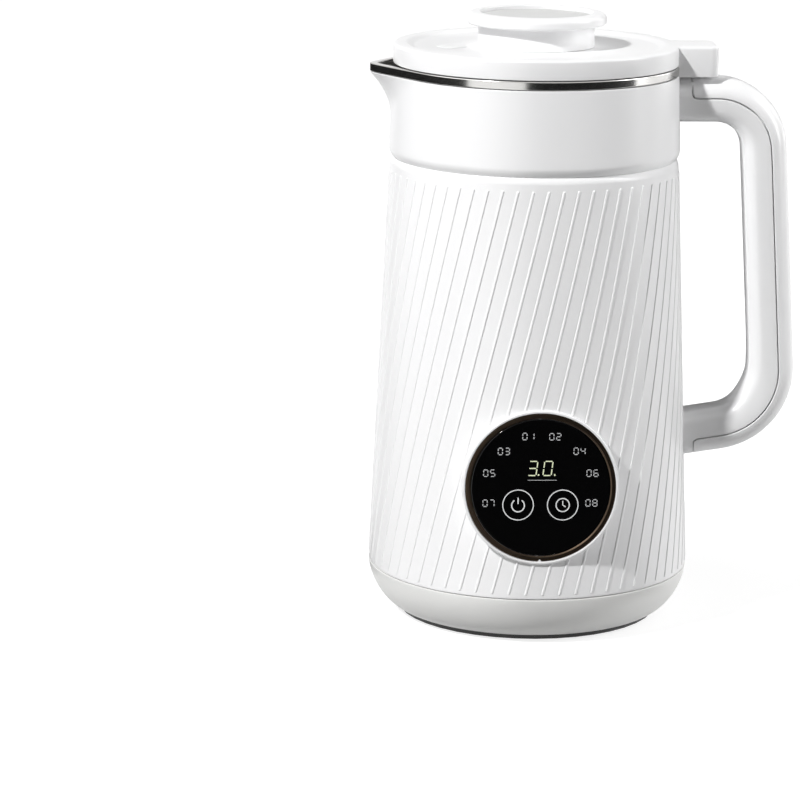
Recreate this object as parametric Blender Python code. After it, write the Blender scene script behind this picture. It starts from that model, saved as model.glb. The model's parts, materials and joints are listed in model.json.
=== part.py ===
# Heated jug blender for baby food, as an assembly of separate pieces.
# Metres, +Z up. The origin is on the jug's axis, at the underside of the bottom plate.
# The handle points to +X, the spout to -X and the panel to -Y.

import math

import bmesh
import bpy
from mathutils import Matrix, Vector

# Fits, shared by every piece
GAP = 0.0003                # clearance between pieces that touch
OVERRUN = 0.004             # how far every cutter runs past what it cuts
EDGE_ROUND = 0.0006         # small rounding on moulded edges

# Heights of the stacked outer pieces, bottom to top
PLATE_THICK = 0.0020
PLATE_PROUD = 0.0013        # bottom plate below the base shell's edge
FOOT_PROUD = 0.0012         # feet below the bottom plate
BASE_HEIGHT = 0.0172
BODY_HEIGHT = 0.1595
COLLAR_HEIGHT = 0.0320
RIM_HEIGHT = 0.0035
LID_HEIGHT = 0.0072

# Radii of the outer pieces
BODY_BOTTOM_R = 0.0623
BODY_TOP_R = 0.0555
BASE_INSET = 0.0113         # base shell's lower edge inside the body's foot
COLLAR_PROUD = 0.0004       # collar beyond the body's top
COLLAR_TAPER = 0.0010
LID_INSET = 0.0003          # lid inside the collar's top edge

# Walls
BASE_WALL = 0.0022
BODY_WALL = 0.0022
COLLAR_WALL = 0.0018
STEEL_WALL = 0.0008
LID_WALL = 0.0020

# Slanting ribs of the body shell
RIB_COUNT = 61
RIB_HEIGHT = 0.0003
RIB_WIDTH = 0.0011
RIB_TWIST = math.radians(35.7)
RIB_PHASE = math.radians(-94.3)
RIB_MARGIN = 0.0019         # smooth band above and below the ribs
RIB_FADE = 0.0010           # slope at each rib's end
RIB_ROWS = 3
BODY_CHAMFER_H = 0.0029     # V groove between body and collar: the body's half
BODY_CHAMFER_R = 0.0011
COLLAR_BEVEL_H = 0.0032     # and the collar's half
COLLAR_BEVEL_R = 0.0015

# Spout
SPOUT_REACH = 0.0086        # spout tip beyond the rim circle
SPOUT_DROP = 0.0175         # height over which the spout flares out
SPOUT_SOFTNESS = math.radians(2.5)
SPOUT_ROWS = 3
SPOUT_STEPS = 5

# Steel liner
JUG_INSET = 0.0033          # liner below its spout inside the collar's top edge
JUG_TAPER = 0.0028
JUG_CORNER_R = 0.0080

# Facets
SEGMENTS_LARGE = 40
SEGMENTS_MEDIUM = 20
SEGMENTS_SMALL = 12
SEGMENTS_TINY = 8
CORNER_STEPS = 3

# Base
BASE_CURVE_POWER = 1.6      # exponent of the bowl's outline
BASE_CURVE_STEPS = 5
SPIGOT_HEIGHT = 0.0045      # lips that locate one shell in the next
SPIGOT_WALL = 0.0016
BASE_FLANGE = 0.0115        # base shell's bottom flange
BOSS_R = 0.0032
BOSS_HEIGHT = 0.0090
BASE_SCREW_COUNT = 3
BASE_SCREW_INSET = 0.0085
BASE_SCREW_START = 0.0
SCREW_R = 0.0013
SCREW_HEAD_R = 0.0026
SCREW_HEAD_H = 0.0012
FLAT_HEAD_H = 0.0008        # flat screw heads inside the shells
BASE_SCREW_LENGTH = 0.0070
FOOT_INSET = 0.0035
FOOT_DEPTH = 0.0045
FOOT_SPAN = math.radians(30)
FOOT_OFFSET = math.radians(22)   # foot centres either side of the X axis
FOOT_POCKET = 0.0008
VENT_COUNT = 8
VENT_IN_R = 0.0120
VENT_OUT_R = 0.0250
VENT_WIDTH = 0.0030
PLATE_LIP_H = 0.0005        # lip round the plate's underside
PLATE_LIP_W = 0.0020

# Handle, drawn as a centre line in the XZ plane with two rounded corners
HANDLE_TOP_DROP = 0.0096    # upper arm's centre line below the collar's top
HANDLE_REACH_TOP = 0.0324   # bends beyond the collar and the body
HANDLE_REACH_LOW = 0.0356
HANDLE_LOW_UP = 0.0562      # lower bend above the seam
HANDLE_ARM_FALL = math.radians(8.5)
HANDLE_BEND_TOP_R = 0.0195
HANDLE_BEND_LOW_R = 0.0235
HANDLE_DEPTH = 0.0172
HANDLE_WIDTH = 0.0210
HANDLE_COVER_SHARE = 0.41   # share of the depth that the outer cover takes
HANDLE_INNER_ROUND = 0.0040
HANDLE_OUTER_ROUND = 0.0060
COVER_TOP_OUT = 0.0042      # cover's ends beyond the collar and the body
COVER_LOW_OUT = 0.0029
HANDLE_BEND_STEPS = 6
HANDLE_SCREW_LENGTH = 0.0100
HANDLE_FIX_TOP = 0.0053     # handle screws from the arms' centre line, towards the opening
HANDLE_FIX_LOW = 0.0024

# Lid
LID_RING_WIDTH = 0.0044
LID_DISH_DEPTH = 0.0012
LID_TOP_ROUND = 0.0010
TAB_LENGTH = 0.0146
TAB_DROP = 0.0042           # tab hangs below the lid's lower edge
TAB_CORNER_R = 0.0035
PLUG_DEPTH = 0.0090
PLUG_CLEAR = 0.0025         # plug inside the jug's mouth
PLUG_WALL = 0.0016
SEAL_HEIGHT = 0.0040
SEAL_REACH = 0.0010         # seal lip beyond the plug
KNOB_NECK_R = 0.0222
KNOB_NECK_H = 0.0083
KNOB_CAP_R = 0.0267
KNOB_CAP_H = 0.0045
KNOB_INSERT_R = 0.0213
KNOB_INSERT_T = 0.0012
KNOB_DISH = 0.0015
KNOB_SCREW_LENGTH = 0.0080
VENT_CAP_R = 0.0056
VENT_CAP_H = 0.0005
VENT_CAP_OUT = 0.0102       # vent's centre beyond the knob's neck
VENT_CAP_Y = -0.0040
VENT_HOLE_R = 0.0030
MAGNET_R = 0.0040
MAGNET_H = 0.0030
TAB_COVER_T = 0.0010
TAB_COVER_R = 0.0060
MAGNET_OUT = 0.0069         # magnet beyond the lid's edge

# Panel
PANEL_UP = 0.0433           # panel's centre above the seam
PANEL_PROUD = 0.0011        # face beyond the body
BEZEL_R = 0.0295
BEZEL_WALL = 0.0011
BEZEL_DEPTH = 0.0135
BEZEL_FLOOR = 0.0016
RING_WIDTH = 0.0019
RING_DEPTH = 0.0022
RING_SUNK = 0.0004
LENS_THICK = 0.0015
LENS_SUNK = 0.0006
BOARD_THICK = 0.0014
DISPLAY_WIDTH = 0.0150
DISPLAY_HEIGHT = 0.0090
DISPLAY_UP = 0.0090
TOUCH_R = 0.0050
TOUCH_APART = 0.0168
TOUCH_DOWN = 0.0053
BOARD_DROP = 0.0040         # board behind the lens

# Drive
SHAFT_R = 0.0025
SHAFT_FIT = 0.0003
BLADE_HUB_R = 0.0050
BLADE_HUB_H = 0.0050
BLADE_REACH = 0.0240
BLADE_WIDTH = 0.0090
BLADE_THICK = 0.0012
BLADE_LIFT = 0.0060
BLADE_COUNT = 4
BLADE_CLEAR = 0.0100        # blade hub above the liner's floor
NUT_R = 0.0042
NUT_H = 0.0055
SEAL_HOUSING_R = 0.0090
SEAL_FLANGE_R = 0.0120
SEAL_FLANGE_T = 0.0015
SEAL_HOUSING_DEPTH = 0.0120
SEAL_LIFT = 0.0015          # seal housing above the motor's carrier
SHAFT_SEAL_R = 0.0065
SHAFT_SEAL_H = 0.0050

# Heater
HEATER_PLATE_T = 0.0030
ELEMENT_INSET = 0.0050
ELEMENT_TUBE_R = 0.0032
ELEMENT_OPEN = math.radians(50)
THERMOSTAT_R = 0.0065
THERMOSTAT_H = 0.0060

# Motor
CARRIER_T = 0.0025
LEDGE_WIDTH = 0.0030
LEDGE_HEIGHT = 0.0024
CAN_R = 0.0210
CAN_WALL = 0.0016
CAN_HEIGHT = 0.0540
BEARING_R = 0.0065
BEARING_H = 0.0045
MAGNET_THICK = 0.0035
MAGNET_SPAN = math.radians(130)
MAGNET_LENGTH = 0.0300
ROTOR_CLEAR = 0.0011        # air gap round the armature
ROTOR_LENGTH = 0.0260
COMMUTATOR_R = 0.0055
COMMUTATOR_H = 0.0080
END_CAP_H = 0.0060
END_CAP_WALL = 0.0016
BRUSH_LENGTH = 0.0080
BRUSH_SIDE = 0.0040
FAN_R = 0.0200
FAN_HUB_R = 0.0050
FAN_HEIGHT = 0.0050
FAN_BLADES = 7
FAN_BLADE_T = 0.0012
FAN_CLEAR = 0.0030          # fan below the motor's end cap
FAN_LIFT = 0.0094           # fan above the bottom plate
SHAFT_HOLE_R = 0.0055       # hole in the carrier that the shaft runs through

# Power
INLET_UP = 0.0175           # inlet's centre above the seam
INLET_WIDTH = 0.0270
INLET_HEIGHT = 0.0195
INLET_DEPTH = 0.0180
INLET_WALL = 0.0020
INLET_FLANGE = 0.0020
INLET_FLANGE_T = 0.0016
INLET_PIN_R = 0.0012
INLET_PIN_APART = 0.0070
INLET_PIN_LENGTH = 0.0110
INLET_PIN_DROP = 0.0020
INLET_CORNER_R = 0.0030
BOARD_WIDTH = 0.0300
BOARD_HEIGHT = 0.0420
BOARD_INSET = 0.0060
RAIL_HEIGHT = 0.0050
RAIL_T = 0.0015

# Switch and probe
REED_LENGTH = 0.0100
REED_SIDE = 0.0040
PROBE_R = 0.0030
PROBE_DROP = 0.0256         # probe below the rim
PROBE_HEAD_R = 0.0045
PROBE_IN = 0.0030

# Pieces that come off together as the lid
LID_PIECES = ("lid_shell", "lid_inner_cover", "lid_seal", "lid_magnet", "tab_cover", "knob_base",
              "knob_cap", "knob_insert", "knob_screw", "steam_vent")

# Heights worked out from the stack
SHELL_EDGE_Z = PLATE_PROUD
SEAM_Z = SHELL_EDGE_Z + BASE_HEIGHT
BODY_TOP_Z = SEAM_Z + BODY_HEIGHT
COLLAR_Z = BODY_TOP_Z + GAP
COLLAR_TOP_Z = COLLAR_Z + COLLAR_HEIGHT
RIM_Z = COLLAR_TOP_Z + GAP
RIM_TOP_Z = RIM_Z + RIM_HEIGHT
LID_Z = RIM_TOP_Z + GAP
LID_TOP_Z = LID_Z + LID_HEIGHT
DISH_Z = LID_TOP_Z - LID_DISH_DEPTH
KNOB_Z = DISH_Z + GAP
KNOB_CAP_Z = KNOB_Z + KNOB_NECK_H
PANEL_Z = SEAM_Z + PANEL_UP
INLET_Z = SEAM_Z + INLET_UP
HANDLE_TOP_Z = COLLAR_TOP_Z - HANDLE_TOP_DROP
HANDLE_LOW_Z = SEAM_Z + HANDLE_LOW_UP
PROBE_Z = RIM_Z - PROBE_DROP
CARRIER_Z = PLATE_THICK + FAN_LIFT + FAN_HEIGHT + FAN_CLEAR + END_CAP_H + CAN_HEIGHT + 2 * GAP
JUG_FLOOR_Z = CARRIER_Z + CARRIER_T + SEAL_LIFT + SEAL_HOUSING_DEPTH

# Radii and places worked out from the body's two radii
BASE_EDGE_R = BODY_BOTTOM_R - BASE_INSET
FLANGE_IN_R = BASE_EDGE_R - BASE_FLANGE
BASE_SCREW_CIRCLE = BASE_EDGE_R - BASE_SCREW_INSET
FOOT_OUT_R = BASE_EDGE_R - FOOT_INSET
FOOT_IN_R = FOOT_OUT_R - FOOT_DEPTH
BOARD_X = BOARD_INSET - FLANGE_IN_R
COLLAR_BOTTOM_R = BODY_TOP_R + COLLAR_PROUD
COLLAR_TOP_R = COLLAR_BOTTOM_R - COLLAR_TAPER
LID_R = COLLAR_TOP_R - LID_INSET
DISH_R = LID_R - LID_RING_WIDTH - 2 * LID_DISH_DEPTH
TAB_REACH = LID_R + TAB_LENGTH
MAGNET_X = LID_R + MAGNET_OUT
VENT_CAP_X = -(KNOB_NECK_R + VENT_CAP_OUT)
PLUG_R = COLLAR_TOP_R - COLLAR_WALL - GAP - STEEL_WALL - PLUG_CLEAR
JUG_SHOULDER_R = COLLAR_TOP_R - JUG_INSET
JUG_FLOOR_R = JUG_SHOULDER_R - JUG_TAPER
HEATER_PLATE_R = JUG_FLOOR_R - JUG_CORNER_R
ELEMENT_R = HEATER_PLATE_R - ELEMENT_INSET
THERMOSTAT_X = -(SEAL_HOUSING_R + ELEMENT_R - ELEMENT_TUBE_R) / 2
ROTOR_R = CAN_R - CAN_WALL - GAP - MAGNET_THICK - ROTOR_CLEAR
COVER_TOP_X = COLLAR_TOP_R + COVER_TOP_OUT


# Materials

def finish(name, colour, roughness, metallic):
    """One Principled material."""
    made = bpy.data.materials.new(name)
    made.use_nodes = True
    shader = made.node_tree.nodes["Principled BSDF"]
    shader.inputs["Base Color"].default_value = (*colour, 1.0)
    shader.inputs["Roughness"].default_value = roughness
    shader.inputs["Metallic"].default_value = metallic
    return made


FINISHES = {
    "white_plastic": ((0.90, 0.90, 0.90), 0.32, 0.0),
    "grey_plastic": ((0.60, 0.60, 0.61), 0.35, 0.0),
    "black_plastic": ((0.02, 0.02, 0.02), 0.45, 0.0),
    "glossy_black": ((0.005, 0.005, 0.005), 0.06, 0.0),
    "bronze": ((0.10, 0.07, 0.05), 0.30, 1.0),
    "steel": ((0.62, 0.62, 0.63), 0.18, 1.0),
    "dark_steel": ((0.25, 0.25, 0.26), 0.35, 1.0),
    "aluminium": ((0.75, 0.76, 0.77), 0.35, 1.0),
    "copper": ((0.80, 0.45, 0.28), 0.30, 1.0),
    "brass": ((0.75, 0.58, 0.28), 0.30, 1.0),
    "rubber": ((0.02, 0.02, 0.02), 0.80, 0.0),
    "silicone": ((0.80, 0.80, 0.80), 0.55, 0.0),
    "circuit_board": ((0.02, 0.18, 0.07), 0.45, 0.0),
    "magnet": ((0.10, 0.10, 0.11), 0.50, 0.0),
    "carbon": ((0.03, 0.03, 0.03), 0.60, 0.0),
}
MATERIALS = {}


# Making and joining solids

def clear_scene():
    for thing in list(bpy.data.objects):
        bpy.data.objects.remove(thing, do_unlink=True)


def add_object(name, verts, faces, material):
    """A named object from points and faces, with its normals turned outward."""
    mesh = bpy.data.meshes.new(name)
    mesh.from_pydata([tuple(v) for v in verts], [], faces)
    shape = bmesh.new()
    shape.from_mesh(mesh)
    bmesh.ops.remove_doubles(shape, verts=shape.verts, dist=GAP / 100)
    bmesh.ops.recalc_face_normals(shape, faces=shape.faces)
    shape.to_mesh(mesh)
    shape.free()
    if material is not None:
        mesh.materials.append(MATERIALS[material])
    mesh.shade_smooth()
    mesh.set_sharp_from_angle(angle=math.radians(35))
    made = bpy.data.objects.new(name, mesh)
    bpy.context.scene.collection.objects.link(made)
    return made


def hide_cutter(cutter):
    cutter.hide_render = True
    cutter.display_type = 'WIRE'
    return cutter


def combine(target, tool, operation):
    """Cut with, or fuse to, a hidden tool object."""
    hide_cutter(tool)
    step = target.modifiers.new(tool.name, 'BOOLEAN')
    step.operation = operation
    step.solver = 'EXACT'
    step.object = tool
    return target


def cut(target, tool):
    return combine(target, tool, 'DIFFERENCE')


def fuse(target, tool):
    return combine(target, tool, 'UNION')


def turned(name, profile, material, segments, start=0.0, span=None):
    """A solid of revolution about Z. The profile is a closed loop of (radius, height);
    points on the axis become one pole. With a span it is a segment with flat ends."""
    full = span is None
    count = segments if full else segments + 1
    sweep = math.tau if full else span
    verts, rings = [], []
    for radius, height in profile:
        if radius <= 0.0:
            rings.append([len(verts)])
            verts.append((0.0, 0.0, height))
            continue
        rings.append(list(range(len(verts), len(verts) + count)))
        for i in range(count):
            angle = start + sweep * i / segments
            verts.append((radius * math.cos(angle), radius * math.sin(angle), height))
    faces = []
    for j, ring in enumerate(rings):
        after = rings[(j + 1) % len(rings)]
        if len(ring) == 1 and len(after) == 1:
            continue
        for i in range(segments):
            k = (i + 1) % count if full else i + 1
            if len(ring) == 1:
                faces.append((ring[0], after[i], after[k]))
            elif len(after) == 1:
                faces.append((ring[i], after[0], ring[k]))
            else:
                faces.append((ring[i], after[i], after[k], ring[k]))
    if not full:
        faces.append(tuple(ring[0] for ring in rings))
        faces.append(tuple(ring[-1] for ring in reversed(rings)))
    return add_object(name, verts, faces, material)


def disc(name, radius, low, high, material, segments, hole=0.0):
    """A plain round plate or a washer."""
    return turned(name, [(hole, high), (radius, high), (radius, low), (hole, low)],
                  material, segments)


def extruded(name, outline, low, high, material):
    """An outline in XY carried up from low to high."""
    count = len(outline)
    verts = [(x, y, low) for x, y in outline] + [(x, y, high) for x, y in outline]
    faces = [tuple(range(count)), tuple(range(count, count + count))]
    for i in range(count):
        k = (i + 1) % count
        faces.append((i, k, count + k, count + i))
    return add_object(name, verts, faces, material)


def box(name, low, high, material):
    outline = [(low[0], low[1]), (high[0], low[1]), (high[0], high[1]), (low[0], high[1])]
    return extruded(name, outline, low[2], high[2], material)


def rounded_outline(half_x, half_y, corner):
    """Rectangle with round corners, centred on the origin."""
    points = []
    for quarter in range(4):
        turn = math.pi / 2 * quarter
        sign_x = 1 if quarter in (0, 3) else -1
        sign_y = 1 if quarter in (0, 1) else -1
        for i in range(CORNER_STEPS + 1):
            angle = turn + math.pi / 2 * i / CORNER_STEPS
            points.append((sign_x * (half_x - corner) + corner * math.cos(angle),
                           sign_y * (half_y - corner) + corner * math.sin(angle)))
    return points


def moved(thing, matrix):
    """Place an object's mesh by a matrix."""
    thing.data.transform(matrix)
    return thing


def arc_points(centre, radius, start, stop, steps):
    """Points of an arc in the (radius, height) plane."""
    return [(centre[0] + radius * math.cos(start + (stop - start) * i / steps),
             centre[1] + radius * math.sin(start + (stop - start) * i / steps))
            for i in range(steps + 1)]


def hang_on_axis(name, pieces):
    """Parent the pieces that move together to an empty on their joint's axis, which is Z."""
    axis = bpy.data.objects.new(name, None)
    bpy.context.scene.collection.objects.link(axis)
    for piece in pieces:
        piece.parent = axis


# Outer surfaces that several pieces share

def body_radius(z):
    """Outer radius of the tapered body between its ribs at a height."""
    share = (z - SEAM_Z) / (BODY_HEIGHT - BODY_CHAMFER_H)
    return BODY_BOTTOM_R + (BODY_TOP_R - BODY_BOTTOM_R) * share


def collar_radius(z):
    """Outer radius of the collar's plain part at a height."""
    share = (z - COLLAR_Z) / COLLAR_HEIGHT
    return COLLAR_BOTTOM_R + (COLLAR_TOP_R - COLLAR_BOTTOM_R) * share


def jug_radius(z):
    """Outer radius of the liner's wall between its floor corner and its spout."""
    low, high = JUG_FLOOR_Z + JUG_CORNER_R, COLLAR_TOP_Z - SPOUT_DROP
    share = (z - low) / (high - low)
    return JUG_FLOOR_R + (JUG_SHOULDER_R - GAP - JUG_FLOOR_R) * share


def spout_reach(z):
    """How far the spout's ridge stands out at a height: a parabola up to the rim."""
    share = (z - (COLLAR_TOP_Z - SPOUT_DROP)) / SPOUT_DROP
    return SPOUT_REACH * max(0.0, share) ** 2


def spout_point(radius, reach, angle):
    """Point of an outline that is a circle with two straight sides to the spout's tip.
    The sides touch the circle, and the tip is softened."""
    away = math.sqrt(angle * angle + SPOUT_SOFTNESS ** 2) - SPOUT_SOFTNESS
    touch = math.acos(radius / (radius + reach))
    grown = radius / math.cos(touch - away) if away < touch else radius
    return -grown * math.cos(angle), -grown * math.sin(angle)


def spout_shell(name, profile, material):
    """A turned shell with the spout's outline. The profile is a closed loop of
    (radius, height, reach)."""
    angles = spout_angles()
    verts, faces = [], []
    for radius, height, reach in profile:
        for angle in angles:
            if radius <= 0.0:
                verts.append((0.0, 0.0, height))
            else:
                x, y = spout_point(radius, reach, angle)
                verts.append((x, y, height))
    count = len(angles)
    for j in range(len(profile)):
        k = (j + 1) % len(profile)
        for i in range(count):
            m = (i + 1) % count
            faces.append((j * count + i, k * count + i, k * count + m, j * count + m))
    return add_object(name, verts, faces, material)


def spout_angles():
    """Angles from the spout's tip, from -pi to pi: crowded at the tip, even round the rest."""
    touch = math.acos(COLLAR_TOP_R / (COLLAR_TOP_R + SPOUT_REACH))
    rest = math.ceil(SEGMENTS_LARGE * (math.pi - touch) / math.tau)
    half = [touch * (i / SPOUT_STEPS) ** 2 for i in range(1, SPOUT_STEPS + 1)]
    half += [touch + (math.pi - touch) * i / rest for i in range(1, rest + 1)]
    return [-angle for angle in reversed(half)] + [0.0] + half[:-1]


# Base

def make_base():
    wall = BASE_WALL
    outer = []
    for i in range(BASE_CURVE_STEPS + 1):
        angle = math.pi / 2 * i / BASE_CURVE_STEPS
        radius = BASE_EDGE_R + (BODY_BOTTOM_R - BASE_EDGE_R) * math.cos(angle) ** (2 / BASE_CURVE_POWER)
        height = SEAM_Z - GAP - (BASE_HEIGHT - GAP) * math.sin(angle) ** (2 / BASE_CURVE_POWER)
        outer.append((radius, height))
    lip = BODY_BOTTOM_R - BODY_WALL - GAP
    flange_low = PLATE_THICK + GAP
    flange_high = flange_low + wall
    profile = [(lip - SPIGOT_WALL, SEAM_Z + SPIGOT_HEIGHT), (lip, SEAM_Z + SPIGOT_HEIGHT),
               (lip, SEAM_Z - GAP)]
    profile += outer
    profile += [(BASE_EDGE_R - wall, SHELL_EDGE_Z), (BASE_EDGE_R - wall, flange_low),
                (FLANGE_IN_R, flange_low), (FLANGE_IN_R, flange_high),
                (BASE_EDGE_R - wall / 2, flange_high),
                (lip - SPIGOT_WALL, SEAM_Z - GAP - wall)]
    shell = turned("base_shell", profile, "grey_plastic", SEGMENTS_LARGE)

    # Plate: a wide skirt under the shell's edge, with a lip below, and a spigot inside it
    skirt_r = BASE_EDGE_R - EDGE_ROUND
    spigot_r = BASE_EDGE_R - wall - GAP
    plate = turned("bottom_plate",
                   [(0.0, PLATE_THICK), (spigot_r, PLATE_THICK), (spigot_r, SHELL_EDGE_Z - GAP),
                    (skirt_r, SHELL_EDGE_Z - GAP), (skirt_r, -PLATE_LIP_H),
                    (skirt_r - PLATE_LIP_W, -PLATE_LIP_H), (skirt_r - PLATE_LIP_W, 0.0), (0.0, 0.0)],
                   "black_plastic", SEGMENTS_LARGE)

    for i in range(BASE_SCREW_COUNT):
        angle = BASE_SCREW_START + math.tau * i / BASE_SCREW_COUNT
        place = Matrix.Translation((BASE_SCREW_CIRCLE * math.cos(angle),
                                    BASE_SCREW_CIRCLE * math.sin(angle), 0.0))
        boss = disc("boss_tool_%d" % i, BOSS_R, flange_low + wall / 2, flange_low + BOSS_HEIGHT,
                    "grey_plastic", SEGMENTS_SMALL)
        fuse(shell, moved(boss, place))
        hole = turned("boss_hole_%d" % i,
                      [(0.0, BASE_SCREW_LENGTH + GAP), (SCREW_R + GAP, BASE_SCREW_LENGTH + GAP),
                       (SCREW_R + GAP, SCREW_HEAD_H), (SCREW_HEAD_R + GAP, SCREW_HEAD_H),
                       (SCREW_HEAD_R + GAP, -OVERRUN), (0.0, -OVERRUN)], None, SEGMENTS_TINY)
        cut(shell, moved(hole, place))
        cut(plate, hole)
        screw = turned("base_screw_%d" % (i + 1),
                       [(0.0, BASE_SCREW_LENGTH), (SCREW_R, BASE_SCREW_LENGTH),
                        (SCREW_R, SCREW_HEAD_H - GAP), (SCREW_HEAD_R, SCREW_HEAD_H - GAP),
                        (SCREW_HEAD_R, GAP), (0.0, GAP)], "dark_steel", SEGMENTS_TINY)
        moved(screw, place)

    for i in range(VENT_COUNT):
        slot = box("vent_%d" % i, (VENT_IN_R, -VENT_WIDTH / 2, -OVERRUN),
                   (VENT_OUT_R, VENT_WIDTH / 2, PLATE_THICK + OVERRUN), None)
        cut(plate, moved(slot, Matrix.Rotation(math.tau * i / VENT_COUNT, 4, 'Z')))

    centres = [FOOT_OFFSET, math.pi - FOOT_OFFSET, math.pi + FOOT_OFFSET, math.tau - FOOT_OFFSET]
    for i, centre in enumerate(centres):
        spare = GAP / FOOT_OUT_R
        pocket = turned("foot_pocket_%d" % i,
                        [(FOOT_IN_R - GAP, FOOT_POCKET), (FOOT_OUT_R + GAP, FOOT_POCKET),
                         (FOOT_OUT_R + GAP, -OVERRUN), (FOOT_IN_R - GAP, -OVERRUN)],
                        None, SEGMENTS_TINY, centre - FOOT_SPAN / 2 - spare, FOOT_SPAN + 2 * spare)
        cut(plate, pocket)
        turned("foot_%d" % (i + 1),
               [(FOOT_IN_R, FOOT_POCKET - GAP), (FOOT_OUT_R, FOOT_POCKET - GAP),
                (FOOT_OUT_R, -FOOT_PROUD), (FOOT_IN_R, -FOOT_PROUD)],
               "rubber", SEGMENTS_TINY, centre - FOOT_SPAN / 2, FOOT_SPAN)

    # Rails that hold the power board's lower edge
    for side in (-1, 1):
        near = BOARD_X + side * (BOARD_THICK / 2 + GAP)
        far = near + side * RAIL_T
        rail = box("rail_%d" % side, (min(near, far), -BOARD_WIDTH / 4, PLATE_THICK / 2),
                   (max(near, far), BOARD_WIDTH / 4, PLATE_THICK + RAIL_HEIGHT), None)
        fuse(plate, rail)


# Body shell with slanting ribs

def rib_turn(z, low, high):
    """How far the ribs have turned about the axis at a height."""
    return RIB_PHASE - RIB_TWIST * (high - z) / (high - low)


def make_body():
    low, high = SEAM_Z, BODY_TOP_Z
    bend = BODY_TOP_Z - BODY_CHAMFER_H
    rib_low, rib_high = low + RIB_MARGIN, bend - RIB_MARGIN
    crest_low, crest_high = rib_low + RIB_FADE, rib_high - RIB_FADE
    pitch = math.tau / RIB_COUNT

    # Ribbed rows: each rib is three columns, its two feet and its crest
    rows = [(rib_low, 0.0)]
    for i in range(RIB_ROWS + 1):
        rows.append((crest_low + (crest_high - crest_low) * i / RIB_ROWS, RIB_HEIGHT))
    rows.append((rib_high, 0.0))
    verts = []
    for z, height in rows:
        radius = body_radius(z)
        turn = rib_turn(z, rib_low, rib_high)
        for i in range(RIB_COUNT):
            for side in (-1, 0, 1):
                r = radius + (height if side == 0 else 0.0)
                angle = i * pitch + turn + side * RIB_WIDTH / 2 / radius
                verts.append((r * math.cos(angle), r * math.sin(angle), z))
    wide = 3 * RIB_COUNT
    faces = []
    for j in range(len(rows) - 1):
        for i in range(wide):
            k = (i + 1) % wide
            faces.append((j * wide + i, (j + 1) * wide + i, (j + 1) * wide + k, j * wide + k))

    # Plain rings from the top band over the inner wall to the bottom band
    ledge_top = CARRIER_Z - GAP
    ledge_low = ledge_top - LEDGE_HEIGHT
    rings = [(BODY_TOP_R, bend), (BODY_TOP_R - BODY_CHAMFER_R, high),
             (body_radius(high) - BODY_WALL, high),
             (body_radius(ledge_top) - BODY_WALL, ledge_top),
             (body_radius(ledge_top) - BODY_WALL - LEDGE_WIDTH, ledge_top),
             (body_radius(ledge_top) - BODY_WALL - LEDGE_WIDTH, ledge_low),
             (body_radius(ledge_low) - BODY_WALL, ledge_low - LEDGE_WIDTH),
             (BODY_BOTTOM_R - BODY_WALL, low), (BODY_BOTTOM_R, low)]
    first = len(verts)
    turn = rib_turn(rib_high, rib_low, rib_high)
    for radius, z in rings:
        for i in range(RIB_COUNT):
            angle = i * pitch + turn
            verts.append((radius * math.cos(angle), radius * math.sin(angle), z))
    for j in range(len(rings) - 1):
        a = first + j * RIB_COUNT
        b = a + RIB_COUNT
        for i in range(RIB_COUNT):
            k = (i + 1) % RIB_COUNT
            faces.append((a + i, b + i, b + k, a + k))

    # Bands between the plain rings and the ribbed rows
    last_ring = first + (len(rings) - 1) * RIB_COUNT
    shift = round((turn - rib_turn(rib_low, rib_low, rib_high)) / pitch)
    for row, ring, step in (((len(rows) - 1) * wide, first, 0), (0, last_ring, shift)):
        for i in range(RIB_COUNT):
            k = (i + 1) % RIB_COUNT
            a = row + 3 * ((i + step) % RIB_COUNT)
            b = row + 3 * ((i + step + 1) % RIB_COUNT)
            faces.append((a, ring + i, a + 1))
            faces.append((a + 1, ring + i, a + 2))
            faces.append((a + 2, ring + i, ring + k, b))
    return add_object("body_shell", verts, faces, "white_plastic")


# Collar and steel liner

def spout_rows():
    """Heights where the spout's flare is drawn, from the collar's top down."""
    return [COLLAR_TOP_Z - SPOUT_DROP * i / SPOUT_ROWS for i in range(SPOUT_ROWS + 1)]


def make_collar():
    profile = [(collar_radius(z), z, spout_reach(z)) for z in spout_rows()]
    bevel_z = COLLAR_Z + COLLAR_BEVEL_H
    profile += [(collar_radius(bevel_z), bevel_z, 0.0), (COLLAR_BOTTOM_R - COLLAR_BEVEL_R, COLLAR_Z, 0.0)]
    lip = body_radius(BODY_TOP_Z) - BODY_WALL - GAP
    profile += [(lip, COLLAR_Z, 0.0), (lip, COLLAR_Z - SPIGOT_HEIGHT, 0.0),
                (JUG_SHOULDER_R + GAP, COLLAR_Z - SPIGOT_HEIGHT, 0.0)]
    low = COLLAR_TOP_Z - SPOUT_DROP
    profile += [(collar_radius(low) - COLLAR_WALL, low, 0.0)]
    for z in reversed(spout_rows()[:-1]):
        profile.append((collar_radius(z) - COLLAR_WALL, z, spout_reach(z)))
    return spout_shell("collar", profile, "white_plastic")


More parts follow.
